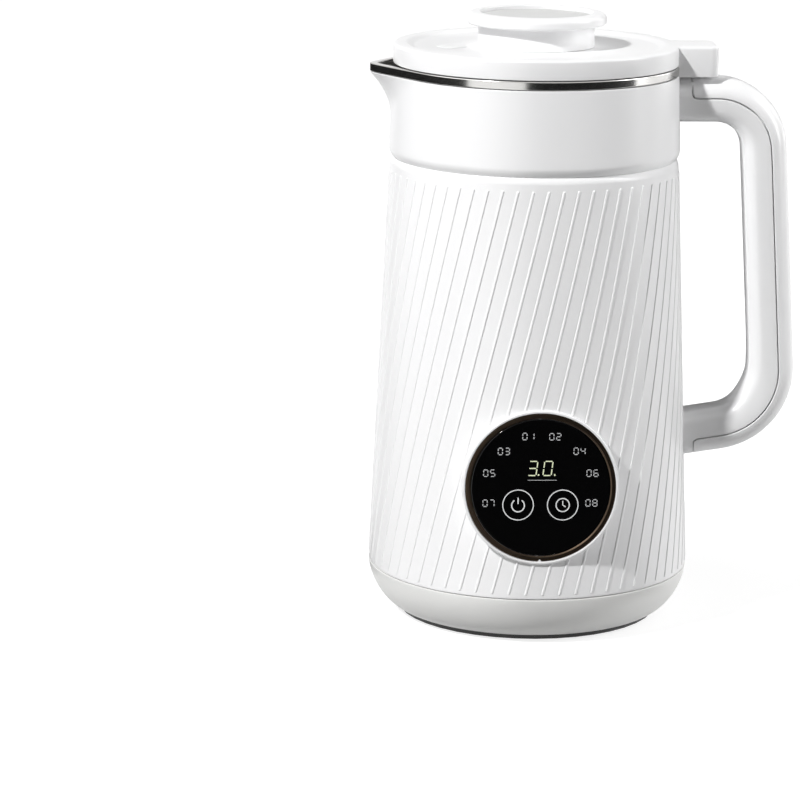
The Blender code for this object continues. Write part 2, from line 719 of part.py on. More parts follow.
def make_jug():
    gap_wall = COLLAR_WALL + GAP
    outer = [(COLLAR_TOP_R, RIM_TOP_Z, SPOUT_REACH), (COLLAR_TOP_R, RIM_Z, SPOUT_REACH)]
    for z in spout_rows()[:-1]:
        radius = min(collar_radius(z) - gap_wall, JUG_SHOULDER_R)
        height = RIM_Z if z == COLLAR_TOP_Z else z
        outer.append((radius, height, spout_reach(z)))
    floor_z = JUG_FLOOR_Z
    low = COLLAR_TOP_Z - SPOUT_DROP
    outer.append((JUG_SHOULDER_R - GAP, low, 0.0))
    corner = (JUG_FLOOR_R - JUG_CORNER_R, floor_z + JUG_CORNER_R)
    outer += [(r, z, 0.0) for r, z in arc_points(corner, JUG_CORNER_R, 0.0, -math.pi / 2, CORNER_STEPS)]
    hole = SEAL_HOUSING_R + GAP
    outer.append((hole, floor_z, 0.0))
    inner = [(hole, floor_z + STEEL_WALL, 0.0)]
    inner += [(r, z, 0.0) for r, z in
              arc_points(corner, JUG_CORNER_R - STEEL_WALL, -math.pi / 2, 0.0, CORNER_STEPS)]
    inner.append((JUG_SHOULDER_R - GAP - STEEL_WALL, low, 0.0))
    for z in reversed(spout_rows()[:-1]):
        radius = min(collar_radius(z) - gap_wall, JUG_SHOULDER_R) - STEEL_WALL
        inner.append((radius, z, spout_reach(z)))
    inner.append((COLLAR_TOP_R - gap_wall - STEEL_WALL, RIM_TOP_Z, SPOUT_REACH))
    return spout_shell("steel_jug", outer + inner, "steel")


# Handle: a rounded section carried along a bent centre line

def handle_path(steps):
    """Stations (x, z, normal x, normal z) along the centre line, from the collar
    round to the body, with so many steps at each bend. The normal points away from
    the hand opening."""
    fall = math.tan(HANDLE_ARM_FALL)
    wall_x = body_radius(HANDLE_LOW_Z)
    start = Vector((COLLAR_TOP_R - BODY_WALL, HANDLE_TOP_Z))
    top = Vector((COLLAR_TOP_R + HANDLE_REACH_TOP, HANDLE_TOP_Z))
    low = Vector((wall_x + HANDLE_REACH_LOW, HANDLE_LOW_Z))
    end_x = wall_x - 2 * BODY_WALL
    end = Vector((end_x, HANDLE_LOW_Z - (low.x - end_x) * fall))
    stations = []

    def add(point, direction):
        stations.append((point.x, point.y, -direction.y, direction.x))

    def bend(before, corner, after, radius):
        into = (corner - before).normalized()
        out = (after - corner).normalized()
        angle = math.acos(max(-1.0, min(1.0, into.dot(out))))
        reach = radius * math.tan(angle / 2)
        first = corner - into * reach
        normal = Vector((-into.y, into.x))
        centre = first - normal * radius
        for i in range(steps + 1):
            turn = -angle * i / steps
            spun = Vector((normal.x * math.cos(turn) - normal.y * math.sin(turn),
                           normal.x * math.sin(turn) + normal.y * math.cos(turn)))
            point = centre + spun * radius
            add(point, Vector((spun.y, -spun.x)))

    add(start, (top - start).normalized())
    cover_top = Vector((COVER_TOP_X, HANDLE_TOP_Z))
    add(cover_top, (top - start).normalized())
    bend(start, top, low, HANDLE_BEND_TOP_R)
    bend(top, low, end, HANDLE_BEND_LOW_R)
    way = (end - low).normalized()
    cover_low = low + way * ((wall_x + COVER_LOW_OUT - low.x) / way.x)
    add(cover_low, way)
    add(end, way)
    return stations


def handle_section(low, high, round_low, round_high):
    """Section outline (normal offset, y) between two offsets, with rounded corners."""
    half = HANDLE_WIDTH / 2
    points = []
    for sign, offset, corner in ((1, high, round_high), (-1, low, round_low)):
        for side in ((1, -1) if sign > 0 else (-1, 1)):
            if corner <= 0.0:
                points.append((offset, side * half))
                continue
            for i in range(CORNER_STEPS + 1):
                share = i / CORNER_STEPS
                angle = math.pi / 2 * (share if (side > 0) != (sign > 0) else 1 - share)
                points.append((offset - sign * corner * (1 - math.cos(angle)),
                               side * (half - corner * (1 - math.sin(angle)))))
    return points


def handle_solid(name, stations, sections):
    """Loft one section after another along the stations, and cap both ends."""
    verts = []
    for (x, z, nx, nz), section in zip(stations, sections):
        verts += [(x + nx * n, y, z + nz * n) for n, y in section]
    count = len(sections[0])
    faces = [tuple(range(count)),
             tuple(range((len(stations) - 1) * count, len(stations) * count))]
    for j in range(len(stations) - 1):
        for i in range(count):
            k = (i + 1) % count
            faces.append((j * count + i, (j + 1) * count + i, (j + 1) * count + k, j * count + k))
    return add_object(name, verts, faces, "white_plastic")


def make_handle(body, collar):
    stations = handle_path(HANDLE_BEND_STEPS)
    half = HANDLE_DEPTH / 2
    split = half - HANDLE_DEPTH * HANDLE_COVER_SHARE
    full = handle_section(-half, half, HANDLE_INNER_ROUND, HANDLE_OUTER_ROUND)
    cover = handle_section(split + GAP, half, 0.0, HANDLE_OUTER_ROUND)
    inner = handle_solid("handle_inner", stations, [full] * len(stations))
    handle_solid("handle_cover", stations[1:-1], [cover] * (len(stations) - 2))

    # The inner half is the whole section with room cut out for the cover
    room = handle_section(split, half + OVERRUN, 0.0, 0.0)
    room = [(n, math.copysign(abs(y) + OVERRUN, y)) for n, y in room]
    reach = handle_path(HANDLE_BEND_STEPS - 1)[1:-1]
    first, last = list(reach[0]), list(reach[-1])
    first[0] -= GAP
    last[0] -= GAP * math.cos(HANDLE_ARM_FALL)
    last[1] -= GAP * math.sin(HANDLE_ARM_FALL)
    path = [tuple(first)] + reach[1:-1] + [tuple(last)]
    cut(inner, handle_solid("cover_room", path, [room] * len(path)))

    # Both ends follow the collar and the ribbed body they meet
    clear = RIB_HEIGHT + GAP
    face = turned("handle_seat",
                  [(0.0, LID_TOP_Z), (collar_radius(LID_TOP_Z) + GAP, LID_TOP_Z),
                   (COLLAR_BOTTOM_R + GAP, COLLAR_Z),
                   (body_radius(BODY_TOP_Z) + clear, COLLAR_Z),
                   (BODY_BOTTOM_R + clear, SEAM_Z), (0.0, SEAM_Z)], None, SEGMENTS_LARGE)
    cut(inner, face)

    # Screws from inside the shells
    arm_low = stations[-1][1] + HANDLE_FIX_LOW
    arm_top = HANDLE_TOP_Z - HANDLE_FIX_TOP
    for label, z, wall_r, wall, shell in (
            ("upper", arm_top, collar_radius(arm_top), COLLAR_WALL, collar),
            ("lower", arm_low, body_radius(arm_low), BODY_WALL, body)):
        seat = wall_r - wall - 2 * GAP
        tip = seat + wall + HANDLE_SCREW_LENGTH
        screw = turned("handle_screw_" + label,
                       [(0.0, tip), (SCREW_R, tip), (SCREW_R, seat), (SCREW_HEAD_R, seat),
                        (SCREW_HEAD_R, seat - FLAT_HEAD_H), (0.0, seat - FLAT_HEAD_H)],
                       "dark_steel", SEGMENTS_TINY)
        to_x = Matrix.Translation((0.0, 0.0, z)) @ Matrix.Rotation(math.pi / 2, 4, 'Y')
        moved(screw, to_x)
        hole = disc("screw_hole_" + label, SCREW_R + GAP, seat - OVERRUN, tip + GAP, None,
                    SEGMENTS_TINY)
        moved(hole, to_x)
        cut(inner, hole)
        cut(shell, hole)
    return inner


# Lid with its tab, inner cover, seal and knob

def make_lid():
    ring_in = LID_R - LID_RING_WIDTH
    top_arc = arc_points((LID_R - LID_TOP_ROUND, LID_TOP_Z - LID_TOP_ROUND), LID_TOP_ROUND,
                         math.pi / 2, 0.0, CORNER_STEPS // 2)
    plug_in = PLUG_R - PLUG_WALL
    profile = [(0.0, DISH_Z), (DISH_R, DISH_Z),
               (ring_in - LID_DISH_DEPTH / 2, DISH_Z + LID_DISH_DEPTH / 2), (ring_in, LID_TOP_Z)]
    profile += top_arc
    profile += [(LID_R, LID_Z), (PLUG_R, LID_Z), (PLUG_R, LID_Z + LID_WALL),
                (0.0, LID_Z + LID_WALL)]
    lid = turned("lid_shell", profile, "white_plastic", SEGMENTS_LARGE)

    # Tab over the handle
    half = HANDLE_WIDTH / 2
    outline = [(LID_R - LID_RING_WIDTH, -half)]
    for i in range(CORNER_STEPS + 1):
        angle = -math.pi / 2 + math.pi / 2 * i / CORNER_STEPS
        outline.append((TAB_REACH - TAB_CORNER_R + TAB_CORNER_R * math.cos(angle),
                        -half + TAB_CORNER_R + TAB_CORNER_R * math.sin(angle)))
    outline += [(x, -y) for x, y in reversed(outline)]
    tab = extruded("tab_tool", outline, LID_Z - TAB_DROP, LID_TOP_Z - LID_DISH_DEPTH / 4,
                   "white_plastic")
    clear = disc("tab_clear", COLLAR_TOP_R + GAP, LID_Z - TAB_DROP - OVERRUN, LID_Z + EDGE_ROUND, None,
                 SEGMENTS_LARGE)
    cut(tab, clear)
    fuse(lid, tab)

    # Magnet pocket, closed from below by a round cover
    low = LID_Z - TAB_DROP
    at = Matrix.Translation((MAGNET_X, 0.0, 0.0))
    cover_high = low + TAB_COVER_T
    pocket = turned("magnet_pocket",
                    [(0.0, cover_high + MAGNET_H + 3 * GAP),
                     (MAGNET_R + GAP, cover_high + MAGNET_H + 3 * GAP),
                     (MAGNET_R + GAP, cover_high + GAP), (TAB_COVER_R + GAP, cover_high + GAP),
                     (TAB_COVER_R + GAP, low - OVERRUN), (0.0, low - OVERRUN)],
                    None, SEGMENTS_SMALL)
    cut(lid, moved(pocket, at))
    moved(disc("lid_magnet", MAGNET_R, cover_high + GAP, cover_high + GAP + MAGNET_H,
               "magnet", SEGMENTS_SMALL), at)
    moved(disc("tab_cover", TAB_COVER_R, low, cover_high, "white_plastic", SEGMENTS_SMALL), at)

    # Inner cover: a cup that fills the jug's mouth, with a groove for the seal
    plug_top = LID_Z + LID_WALL - GAP
    plug_low = LID_Z - PLUG_DEPTH
    seal_low = plug_low + PLUG_WALL
    seal_high = seal_low + SEAL_HEIGHT
    groove_r = PLUG_R - PLUG_WALL - GAP
    turned("lid_inner_cover",
           [(plug_in - 2 * GAP - PLUG_WALL, plug_top), (PLUG_R - GAP, plug_top),
            (PLUG_R - GAP, seal_high), (groove_r, seal_high), (groove_r, seal_low),
            (PLUG_R - GAP, seal_low), (PLUG_R - GAP, plug_low), (0.0, plug_low),
            (0.0, plug_low + PLUG_WALL),
            (plug_in - 2 * GAP - PLUG_WALL, plug_low + PLUG_WALL)],
           "white_plastic", SEGMENTS_LARGE)
    turned("lid_seal",
           [(groove_r + GAP, seal_high - GAP), (PLUG_R, seal_high - GAP),
            (PLUG_R + SEAL_REACH, seal_high - SEAL_HEIGHT / 3),
            (PLUG_R + SEAL_REACH, seal_low + SEAL_HEIGHT / 4),
            (PLUG_R, seal_low + GAP), (groove_r + GAP, seal_low + GAP)],
           "silicone", SEGMENTS_LARGE)
    return lid


def make_knob(lid):
    neck_top = KNOB_CAP_Z - GAP
    base = turned("knob_base",
                  [(0.0, neck_top), (KNOB_NECK_R - EDGE_ROUND, neck_top),
                   (KNOB_NECK_R, neck_top - EDGE_ROUND), (KNOB_NECK_R, KNOB_Z),
                   (0.0, KNOB_Z)], "white_plastic", SEGMENTS_LARGE)
    cap_top = KNOB_CAP_Z + KNOB_CAP_H
    radius = KNOB_CAP_H / 2
    rim = arc_points((KNOB_CAP_R - radius, KNOB_CAP_Z + radius), radius, math.pi / 2,
                     -math.pi / 2, CORNER_STEPS + 1)
    seat = cap_top - KNOB_DISH - KNOB_INSERT_T
    turned("knob_cap",
           [(0.0, seat - GAP), (KNOB_INSERT_R + GAP, seat - GAP),
            (KNOB_INSERT_R + GAP, cap_top - KNOB_DISH)] + rim + [(0.0, KNOB_CAP_Z)],
           "white_plastic", SEGMENTS_LARGE)
    turned("knob_insert", [(0.0, seat + KNOB_INSERT_T), (KNOB_INSERT_R, seat + KNOB_INSERT_T),
                           (KNOB_INSERT_R, seat), (0.0, seat)], "grey_plastic", SEGMENTS_LARGE)

    # Screw from under the lid's top into the knob
    under = LID_Z + LID_WALL
    head_low = under - SCREW_HEAD_H - GAP
    turned("knob_screw",
           [(0.0, under + KNOB_SCREW_LENGTH), (SCREW_R, under + KNOB_SCREW_LENGTH),
            (SCREW_R, under - GAP), (SCREW_HEAD_R, under - GAP), (SCREW_HEAD_R, head_low),
            (0.0, head_low)], "dark_steel", SEGMENTS_TINY)
    hole = disc("knob_screw_hole", SCREW_R + GAP, under - OVERRUN,
                under + KNOB_SCREW_LENGTH + GAP, None, SEGMENTS_TINY)
    cut(lid, hole)
    cut(base, hole)

    # Steam vent: a low cap over a hole through the lid's top
    at = Matrix.Translation((VENT_CAP_X, VENT_CAP_Y, 0.0))
    vent = turned("steam_vent",
                  [(0.0, DISH_Z + GAP + VENT_CAP_H), (VENT_CAP_R - EDGE_ROUND, DISH_Z + GAP + VENT_CAP_H),
                   (VENT_CAP_R, DISH_Z + GAP), (VENT_HOLE_R - GAP, DISH_Z + GAP),
                   (VENT_HOLE_R - GAP, under), (0.0, under)], "white_plastic", SEGMENTS_SMALL)
    moved(vent, at)
    way = disc("vent_way", VENT_HOLE_R, under - OVERRUN, DISH_Z + OVERRUN, None, SEGMENTS_SMALL)
    cut(lid, moved(way, at))
    bleed = disc("vent_bleed", VENT_HOLE_R / 2, under - OVERRUN, DISH_Z + OVERRUN, None,
                 SEGMENTS_TINY)
    cut(vent, moved(bleed, at))


# Panel: a drum along the body's normal, with everything inside set back from its face

def panel_matrix():
    """Maps a drum drawn along +Z, face at zero, onto the tapered body's front."""
    taper = math.atan((BODY_BOTTOM_R - BODY_TOP_R) / (BODY_HEIGHT - BODY_CHAMFER_H))
    return (Matrix.Translation((0.0, -body_radius(PANEL_Z) - PANEL_PROUD, PANEL_Z))
            @ Matrix.Rotation(math.pi / 2 - taper, 4, 'X'))


def make_panel(body, carrier):
    place = panel_matrix()
    inside = BEZEL_R - BEZEL_WALL
    floor = -BEZEL_DEPTH
    lens_back = -LENS_SUNK - LENS_THICK
    board_top = lens_back - BOARD_DROP
    board_low = board_top - BOARD_THICK
    bezel = turned("panel_bezel",
                   [(inside, 0.0), (BEZEL_R - BEZEL_WALL / 2, 0.0), (BEZEL_R, -BEZEL_WALL / 2),
                    (BEZEL_R, floor - BEZEL_FLOOR), (0.0, floor - BEZEL_FLOOR), (0.0, floor),
                    (inside - SPIGOT_WALL, floor), (inside - SPIGOT_WALL, board_low - GAP),
                    (inside, board_low - GAP)], "white_plastic", SEGMENTS_LARGE)
    ring_out = inside - GAP
    ring_in = ring_out - RING_WIDTH
    turned_ring = turned("panel_ring",
                         [(ring_in, -RING_SUNK), (ring_out, -RING_SUNK),
                          (ring_out, -RING_SUNK - RING_DEPTH), (ring_in, -RING_SUNK - RING_DEPTH)],
                         "bronze", SEGMENTS_LARGE)
    lens_r = ring_in - GAP
    lens = disc("panel_lens", lens_r, lens_back, -LENS_SUNK, "glossy_black", SEGMENTS_LARGE)
    board = disc("control_board", inside - GAP, board_low, board_top, "circuit_board",
                 SEGMENTS_MEDIUM)
    display = box("display_module",
                  (-DISPLAY_WIDTH / 2, DISPLAY_UP - DISPLAY_HEIGHT / 2, board_top + GAP),
                  (DISPLAY_WIDTH / 2, DISPLAY_UP + DISPLAY_HEIGHT / 2, lens_back - GAP),
                  "black_plastic")
    pieces = [bezel, turned_ring, lens, board, display]
    for label, side in (("left", -1), ("right", 1)):
        spring = disc("touch_spring_" + label, TOUCH_R, board_top + GAP, lens_back - GAP,
                      "steel", SEGMENTS_SMALL)
        moved(spring, Matrix.Translation((side * TOUCH_APART / 2, -TOUCH_DOWN, 0.0)))
        pieces.append(spring)
    for piece in pieces:
        moved(piece, place)
    mouth = disc("panel_mouth", BEZEL_R + GAP, floor - BEZEL_FLOOR - OVERRUN, OVERRUN, None,
                 SEGMENTS_LARGE)
    cut(body, moved(mouth, place))
    cut(carrier, mouth)


# Heater under the liner's floor

def make_heater():
    plate_high = JUG_FLOOR_Z - GAP
    plate_low = plate_high - HEATER_PLATE_T
    disc("heater_plate", HEATER_PLATE_R, plate_low, plate_high, "aluminium", SEGMENTS_MEDIUM,
         SEAL_HOUSING_R + GAP)
    tube_z = plate_low - GAP - ELEMENT_TUBE_R
    loop = arc_points((ELEMENT_R, tube_z), ELEMENT_TUBE_R, 0.0,
                      math.tau * (1 - 1 / SEGMENTS_TINY), SEGMENTS_TINY - 1)
    turned("heating_element", loop, "dark_steel", SEGMENTS_MEDIUM, ELEMENT_OPEN / 2,
           math.tau - ELEMENT_OPEN)
    at = Matrix.Translation((THERMOSTAT_X, 0.0, 0.0))
    moved(disc("thermostat", THERMOSTAT_R, plate_low - GAP - THERMOSTAT_H, plate_low - GAP,
               "aluminium", SEGMENTS_SMALL), at)


# Drive: seal, shaft, blade, motor and fan

def make_seal():
    floor_top = JUG_FLOOR_Z + STEEL_WALL
    low = JUG_FLOOR_Z - SEAL_HOUSING_DEPTH
    flange_low = floor_top + GAP
    flange_high = flange_low + SEAL_FLANGE_T
    pocket_low = flange_high - SHAFT_SEAL_H - GAP
    bore = SHAFT_R + SHAFT_FIT
    turned("seal_housing",
           [(SHAFT_SEAL_R + GAP, flange_high), (SEAL_FLANGE_R, flange_high),
            (SEAL_FLANGE_R, flange_low), (SEAL_HOUSING_R, flange_low), (SEAL_HOUSING_R, low),
            (bore, low), (bore, pocket_low), (SHAFT_SEAL_R + GAP, pocket_low)],
           "steel", SEGMENTS_MEDIUM)
    disc("shaft_seal", SHAFT_SEAL_R, pocket_low + GAP, flange_high, "rubber", SEGMENTS_MEDIUM,
         bore)
    return low


def make_rotor():
    hub_low = JUG_FLOOR_Z + BLADE_CLEAR
    hub_high = hub_low + BLADE_HUB_H
    fan_high = CARRIER_Z - GAP - CAN_HEIGHT - GAP - END_CAP_H - FAN_CLEAR
    fan_low = fan_high - FAN_HEIGHT
    shaft_top = hub_high + NUT_H / 2
    shaft = turned("drive_shaft", [(0.0, shaft_top), (SHAFT_R, shaft_top),
                                   (SHAFT_R, fan_low), (0.0, fan_low)],
                   "steel", SEGMENTS_SMALL)
    bore = SHAFT_R + GAP

    # Blade: wings fused to a hub, turned up and down by turns
    blade = disc("blade", BLADE_HUB_R, hub_low, hub_high, "steel", SEGMENTS_SMALL)
    middle = (hub_low + hub_high) / 2
    for i in range(BLADE_COUNT):
        lift = BLADE_LIFT if i % 2 else -BLADE_LIFT / 2
        wing = blade_wing("wing_%d" % i, middle, lift)
        fuse(blade, moved(wing, Matrix.Rotation(math.tau * i / BLADE_COUNT, 4, 'Z')))
    cut(blade, disc("blade_bore", bore, hub_low - OVERRUN, hub_high + OVERRUN, None,
                    SEGMENTS_SMALL))
    nut = turned("blade_nut",
                 [(0.0, hub_high + GAP + NUT_H), (NUT_R / 2, hub_high + GAP + NUT_H),
                  (NUT_R, hub_high + GAP + NUT_H / 2), (NUT_R, hub_high + GAP),
                  (bore, hub_high + GAP), (bore, shaft_top + GAP), (0.0, shaft_top + GAP)],
                 "steel", SEGMENTS_SMALL)

    # Armature inside the can
    can_top = CARRIER_Z - GAP
    core_high = can_top - CAN_WALL - BEARING_H - MAGNET_THICK
    core_low = core_high - ROTOR_LENGTH
    core = disc("rotor_core", ROTOR_R, core_low, core_high, "dark_steel", SEGMENTS_MEDIUM, bore)
    ring_high = core_low - GAP
    commutator = disc("commutator", COMMUTATOR_R, ring_high - COMMUTATOR_H, ring_high, "copper",
                      SEGMENTS_SMALL, bore)

    # Fan: a bored hub with flat blades
    fan = disc("cooling_fan", FAN_HUB_R, fan_low, fan_high, "black_plastic", SEGMENTS_SMALL)
    for i in range(FAN_BLADES):
        vane = box("vane_%d" % i, (SHAFT_R + FAN_BLADE_T, -FAN_BLADE_T / 2, fan_low),
                   (FAN_R, FAN_BLADE_T / 2, fan_high - EDGE_ROUND), None)
        tilt = Matrix.Rotation(math.tau * i / FAN_BLADES, 4, 'Z')
        fuse(fan, moved(vane, tilt))
    cut(fan, disc("fan_bore", bore, fan_low - OVERRUN, fan_high + OVERRUN, None, SEGMENTS_SMALL))

    hang_on_axis("rotor_axis", (shaft, blade, nut, core, commutator, fan))
    return ring_high - COMMUTATOR_H / 2


def blade_wing(name, z, lift):
    """A flat wing that leaves the hub level and then rises or falls to its tip."""
    half = BLADE_WIDTH / 2
    knee = (BLADE_HUB_R + BLADE_REACH) / 2
    places = [(SHAFT_R + BLADE_THICK, 0.0, half), (knee, 0.0, half), (BLADE_REACH, lift, half / 3)]
    verts = []
    for x, rise, wide in places:
        for side, up in ((-1, -1), (1, -1), (1, 1), (-1, 1)):
            verts.append((x, side * wide, z + rise + up * BLADE_THICK / 2))
    faces = [(0, 1, 2, 3), (8, 9, 10, 11)]
    for j in (0, 4):
        for i in range(4):
            k = (i + 1) % 4
            faces.append((j + i, j + k, j + 4 + k, j + 4 + i))
    return add_object(name, verts, faces, "steel")


def make_motor(brush_z, housing_low):
    # Carrier: a disc on the body's ledge with a collar round the seal housing's foot
    carrier_r = body_radius(CARRIER_Z) - BODY_WALL - GAP
    boss_high = housing_low - GAP
    carrier = turned("motor_carrier",
                     [(SHAFT_HOLE_R, boss_high), (SEAL_HOUSING_R, boss_high),
                      (SEAL_HOUSING_R, CARRIER_Z + CARRIER_T), (carrier_r, CARRIER_Z + CARRIER_T),
                      (carrier_r, CARRIER_Z), (SHAFT_HOLE_R, CARRIER_Z)],
                     "black_plastic", SEGMENTS_LARGE)

    can_top = CARRIER_Z - GAP
    can_low = can_top - CAN_HEIGHT
    seat_low = can_top - CAN_WALL - BEARING_H
    turned("motor_can",
           [(SHAFT_R + GAP * 2, can_top), (CAN_R, can_top), (CAN_R, can_low),
            (CAN_R - CAN_WALL, can_low), (CAN_R - CAN_WALL, can_top - CAN_WALL),
            (BEARING_R + CAN_WALL, can_top - CAN_WALL), (BEARING_R + CAN_WALL, seat_low),
            (BEARING_R + GAP, seat_low), (BEARING_R + GAP, can_top - CAN_WALL),
            (SHAFT_R + GAP * 2, can_top - CAN_WALL)],
           "dark_steel", SEGMENTS_MEDIUM)
    disc("bearing_top", BEARING_R, seat_low + GAP, can_top - CAN_WALL - GAP, "brass",
         SEGMENTS_SMALL, SHAFT_R + SHAFT_FIT)

    magnet_out = CAN_R - CAN_WALL - GAP
    magnet_high = can_top - CAN_WALL - BEARING_H
    for label, start in (("left", math.pi - MAGNET_SPAN / 2), ("right", -MAGNET_SPAN / 2)):
        turned("magnet_" + label,
               [(magnet_out - MAGNET_THICK, magnet_high), (magnet_out, magnet_high),
                (magnet_out, magnet_high - MAGNET_LENGTH),
                (magnet_out - MAGNET_THICK, magnet_high - MAGNET_LENGTH)],
               "magnet", SEGMENTS_TINY, start, MAGNET_SPAN)

    # End cap closes the can and holds the lower bearing
    cap_high = can_low - GAP
    cap_low = cap_high - END_CAP_H
    spigot_r = CAN_R - CAN_WALL - GAP
    turned("motor_end_cap",
           [(spigot_r - END_CAP_WALL, cap_high + END_CAP_H), (spigot_r, cap_high + END_CAP_H),
            (spigot_r, cap_high), (CAN_R, cap_high), (CAN_R, cap_high - END_CAP_WALL),
            (BEARING_R + END_CAP_WALL, cap_low),
            (SHAFT_R + GAP * 2, cap_low), (SHAFT_R + GAP * 2, cap_low + END_CAP_WALL / 2),
            (BEARING_R + GAP, cap_low + END_CAP_WALL / 2),
            (BEARING_R + GAP, cap_high),
            (spigot_r - END_CAP_WALL, cap_high)],
           "black_plastic", SEGMENTS_MEDIUM)
    bearing_low = cap_low + END_CAP_WALL / 2 + GAP
    disc("bearing_bottom", BEARING_R, bearing_low, bearing_low + BEARING_H, "brass",
         SEGMENTS_SMALL, SHAFT_R + SHAFT_FIT)

    # Carbon brushes press on the commutator from the sides
    for label, side in (("left", -1), ("right", 1)):
        near = COMMUTATOR_R + GAP
        low_x, high_x = sorted((side * near, side * (near + BRUSH_LENGTH)))
        box("brush_" + label, (low_x, -BRUSH_SIDE / 2, brush_z - BRUSH_SIDE / 2),
            (high_x, BRUSH_SIDE / 2, brush_z + BRUSH_SIDE / 2), "carbon")
    return carrier


# Mains inlet and power board

def make_power(body):
    half_w, half_h = INLET_WIDTH / 2, INLET_HEIGHT / 2
    back = body_radius(INLET_Z - half_h - INLET_FLANGE) + RIB_HEIGHT
    place = Matrix.Translation((0.0, back, INLET_Z)) @ Matrix.Rotation(-math.pi / 2, 4, 'X')
    inlet = extruded("power_inlet", rounded_outline(half_w, half_h, INLET_CORNER_R),
                     -INLET_DEPTH, INLET_FLANGE_T, "black_plastic")
    flange = extruded("inlet_flange", rounded_outline(half_w + INLET_FLANGE, half_h + INLET_FLANGE,
                                                      INLET_CORNER_R + INLET_FLANGE),
                      GAP, INLET_FLANGE_T, "black_plastic")
    fuse(inlet, flange)
    recess = extruded("inlet_recess",
                      rounded_outline(half_w - INLET_WALL, half_h - INLET_WALL,
                                      INLET_CORNER_R / 2),
                      INLET_WALL - INLET_DEPTH, INLET_FLANGE_T + OVERRUN, None)
    cut(inlet, recess)
    hole = extruded("inlet_hole", rounded_outline(half_w + GAP, half_h + GAP, INLET_CORNER_R),
                    -INLET_DEPTH - OVERRUN, OVERRUN, None)
    for piece in (inlet, flange, recess, hole):
        moved(piece, place)
    cut(body, hole)
    pin_low = INLET_WALL - INLET_DEPTH + GAP
    for i, x in enumerate((-INLET_PIN_APART, 0.0, INLET_PIN_APART)):
        up = INLET_PIN_DROP if x == 0.0 else -INLET_PIN_DROP
        pin = disc("inlet_pin_%d" % (i + 1), INLET_PIN_R, pin_low, pin_low + INLET_PIN_LENGTH,
                   "brass", SEGMENTS_TINY)
        moved(pin, place @ Matrix.Translation((x, up, 0.0)))

    low = PLATE_THICK + GAP
    box("power_board", (BOARD_X - BOARD_THICK / 2, -BOARD_WIDTH / 2, low),
        (BOARD_X + BOARD_THICK / 2, BOARD_WIDTH / 2, low + BOARD_HEIGHT), "circuit_board")


# Lid switch and overflow probe

def make_sensors(inner, jug):
    split = HANDLE_TOP_Z + HANDLE_DEPTH / 2 - HANDLE_DEPTH * HANDLE_COVER_SHARE
    low = split - REED_SIDE - GAP
    near = COVER_TOP_X + GAP
    box("reed_switch", (near, -REED_SIDE / 2, low), (near + REED_LENGTH, REED_SIDE / 2, low + REED_SIDE),
        "glossy_black")
    pocket = box("reed_pocket", (near - GAP, -REED_SIDE / 2 - GAP, low - GAP),
                 (near + REED_LENGTH + GAP, REED_SIDE / 2 + GAP, split + OVERRUN / 2), None)
    cut(inner, pocket)
    wall_in = jug_radius(PROBE_Z - PROBE_HEAD_R) - STEEL_WALL
    seat = math.sqrt(wall_in ** 2 - PROBE_HEAD_R ** 2) - GAP
    end = jug_radius(PROBE_Z) + STEEL_WALL
    probe = turned("overflow_probe",
                   [(0.0, seat - PROBE_IN), (PROBE_HEAD_R, seat - PROBE_IN),
                    (PROBE_HEAD_R, seat), (PROBE_R, seat), (PROBE_R, end), (0.0, end)],
                   "steel", SEGMENTS_SMALL)
    to_y = Matrix.Translation((0.0, 0.0, PROBE_Z)) @ Matrix.Rotation(-math.pi / 2, 4, 'X')
    moved(probe, to_y)
    hole = disc("probe_hole", PROBE_R + GAP, seat - OVERRUN, end + OVERRUN, None, SEGMENTS_SMALL)
    cut(jug, moved(hole, to_y))


def build():
    clear_scene()
    for name, (colour, roughness, metallic) in FINISHES.items():
        MATERIALS[name] = finish(name, colour, roughness, metallic)
    make_base()
    body = make_body()
    collar = make_collar()
    jug = make_jug()
    inner = make_handle(body, collar)
    lid = make_lid()
    make_knob(lid)
    hang_on_axis("lid_axis", [bpy.data.objects[name] for name in LID_PIECES])
    make_heater()
    housing_low = make_seal()
    brush_z = make_rotor()
    carrier = make_motor(brush_z, housing_low)
    make_panel(body, carrier)
    make_power(body)
    make_sensors(inner, jug)


build()
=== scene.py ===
import json
import math

import bmesh
import bpy
import numpy as np
from mathutils import Matrix


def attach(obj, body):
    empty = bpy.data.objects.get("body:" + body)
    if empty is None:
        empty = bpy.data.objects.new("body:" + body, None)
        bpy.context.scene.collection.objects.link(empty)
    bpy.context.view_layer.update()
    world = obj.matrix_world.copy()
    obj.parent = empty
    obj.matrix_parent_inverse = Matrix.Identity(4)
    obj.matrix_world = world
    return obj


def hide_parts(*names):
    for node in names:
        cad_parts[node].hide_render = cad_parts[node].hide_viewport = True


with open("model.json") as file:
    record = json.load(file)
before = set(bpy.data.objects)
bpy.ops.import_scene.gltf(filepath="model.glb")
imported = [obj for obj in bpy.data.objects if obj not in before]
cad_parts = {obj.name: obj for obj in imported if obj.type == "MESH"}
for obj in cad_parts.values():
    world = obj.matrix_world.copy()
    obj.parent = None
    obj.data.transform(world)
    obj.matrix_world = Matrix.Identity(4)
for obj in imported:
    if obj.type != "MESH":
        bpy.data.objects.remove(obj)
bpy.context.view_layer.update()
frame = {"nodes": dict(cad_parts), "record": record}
print("frame loaded with", len(frame["nodes"]), "nodes")

# Lengths are in millimetres and become metres in a mesh or a node. Only the lamps, the camera
# and the two distances by which a mesh is tidied are in metres, and say so.
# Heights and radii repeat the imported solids: the jug's axis is Z, the spout points to -X,
# the handle to +X and the panel to -Y.


# Colours and nodes

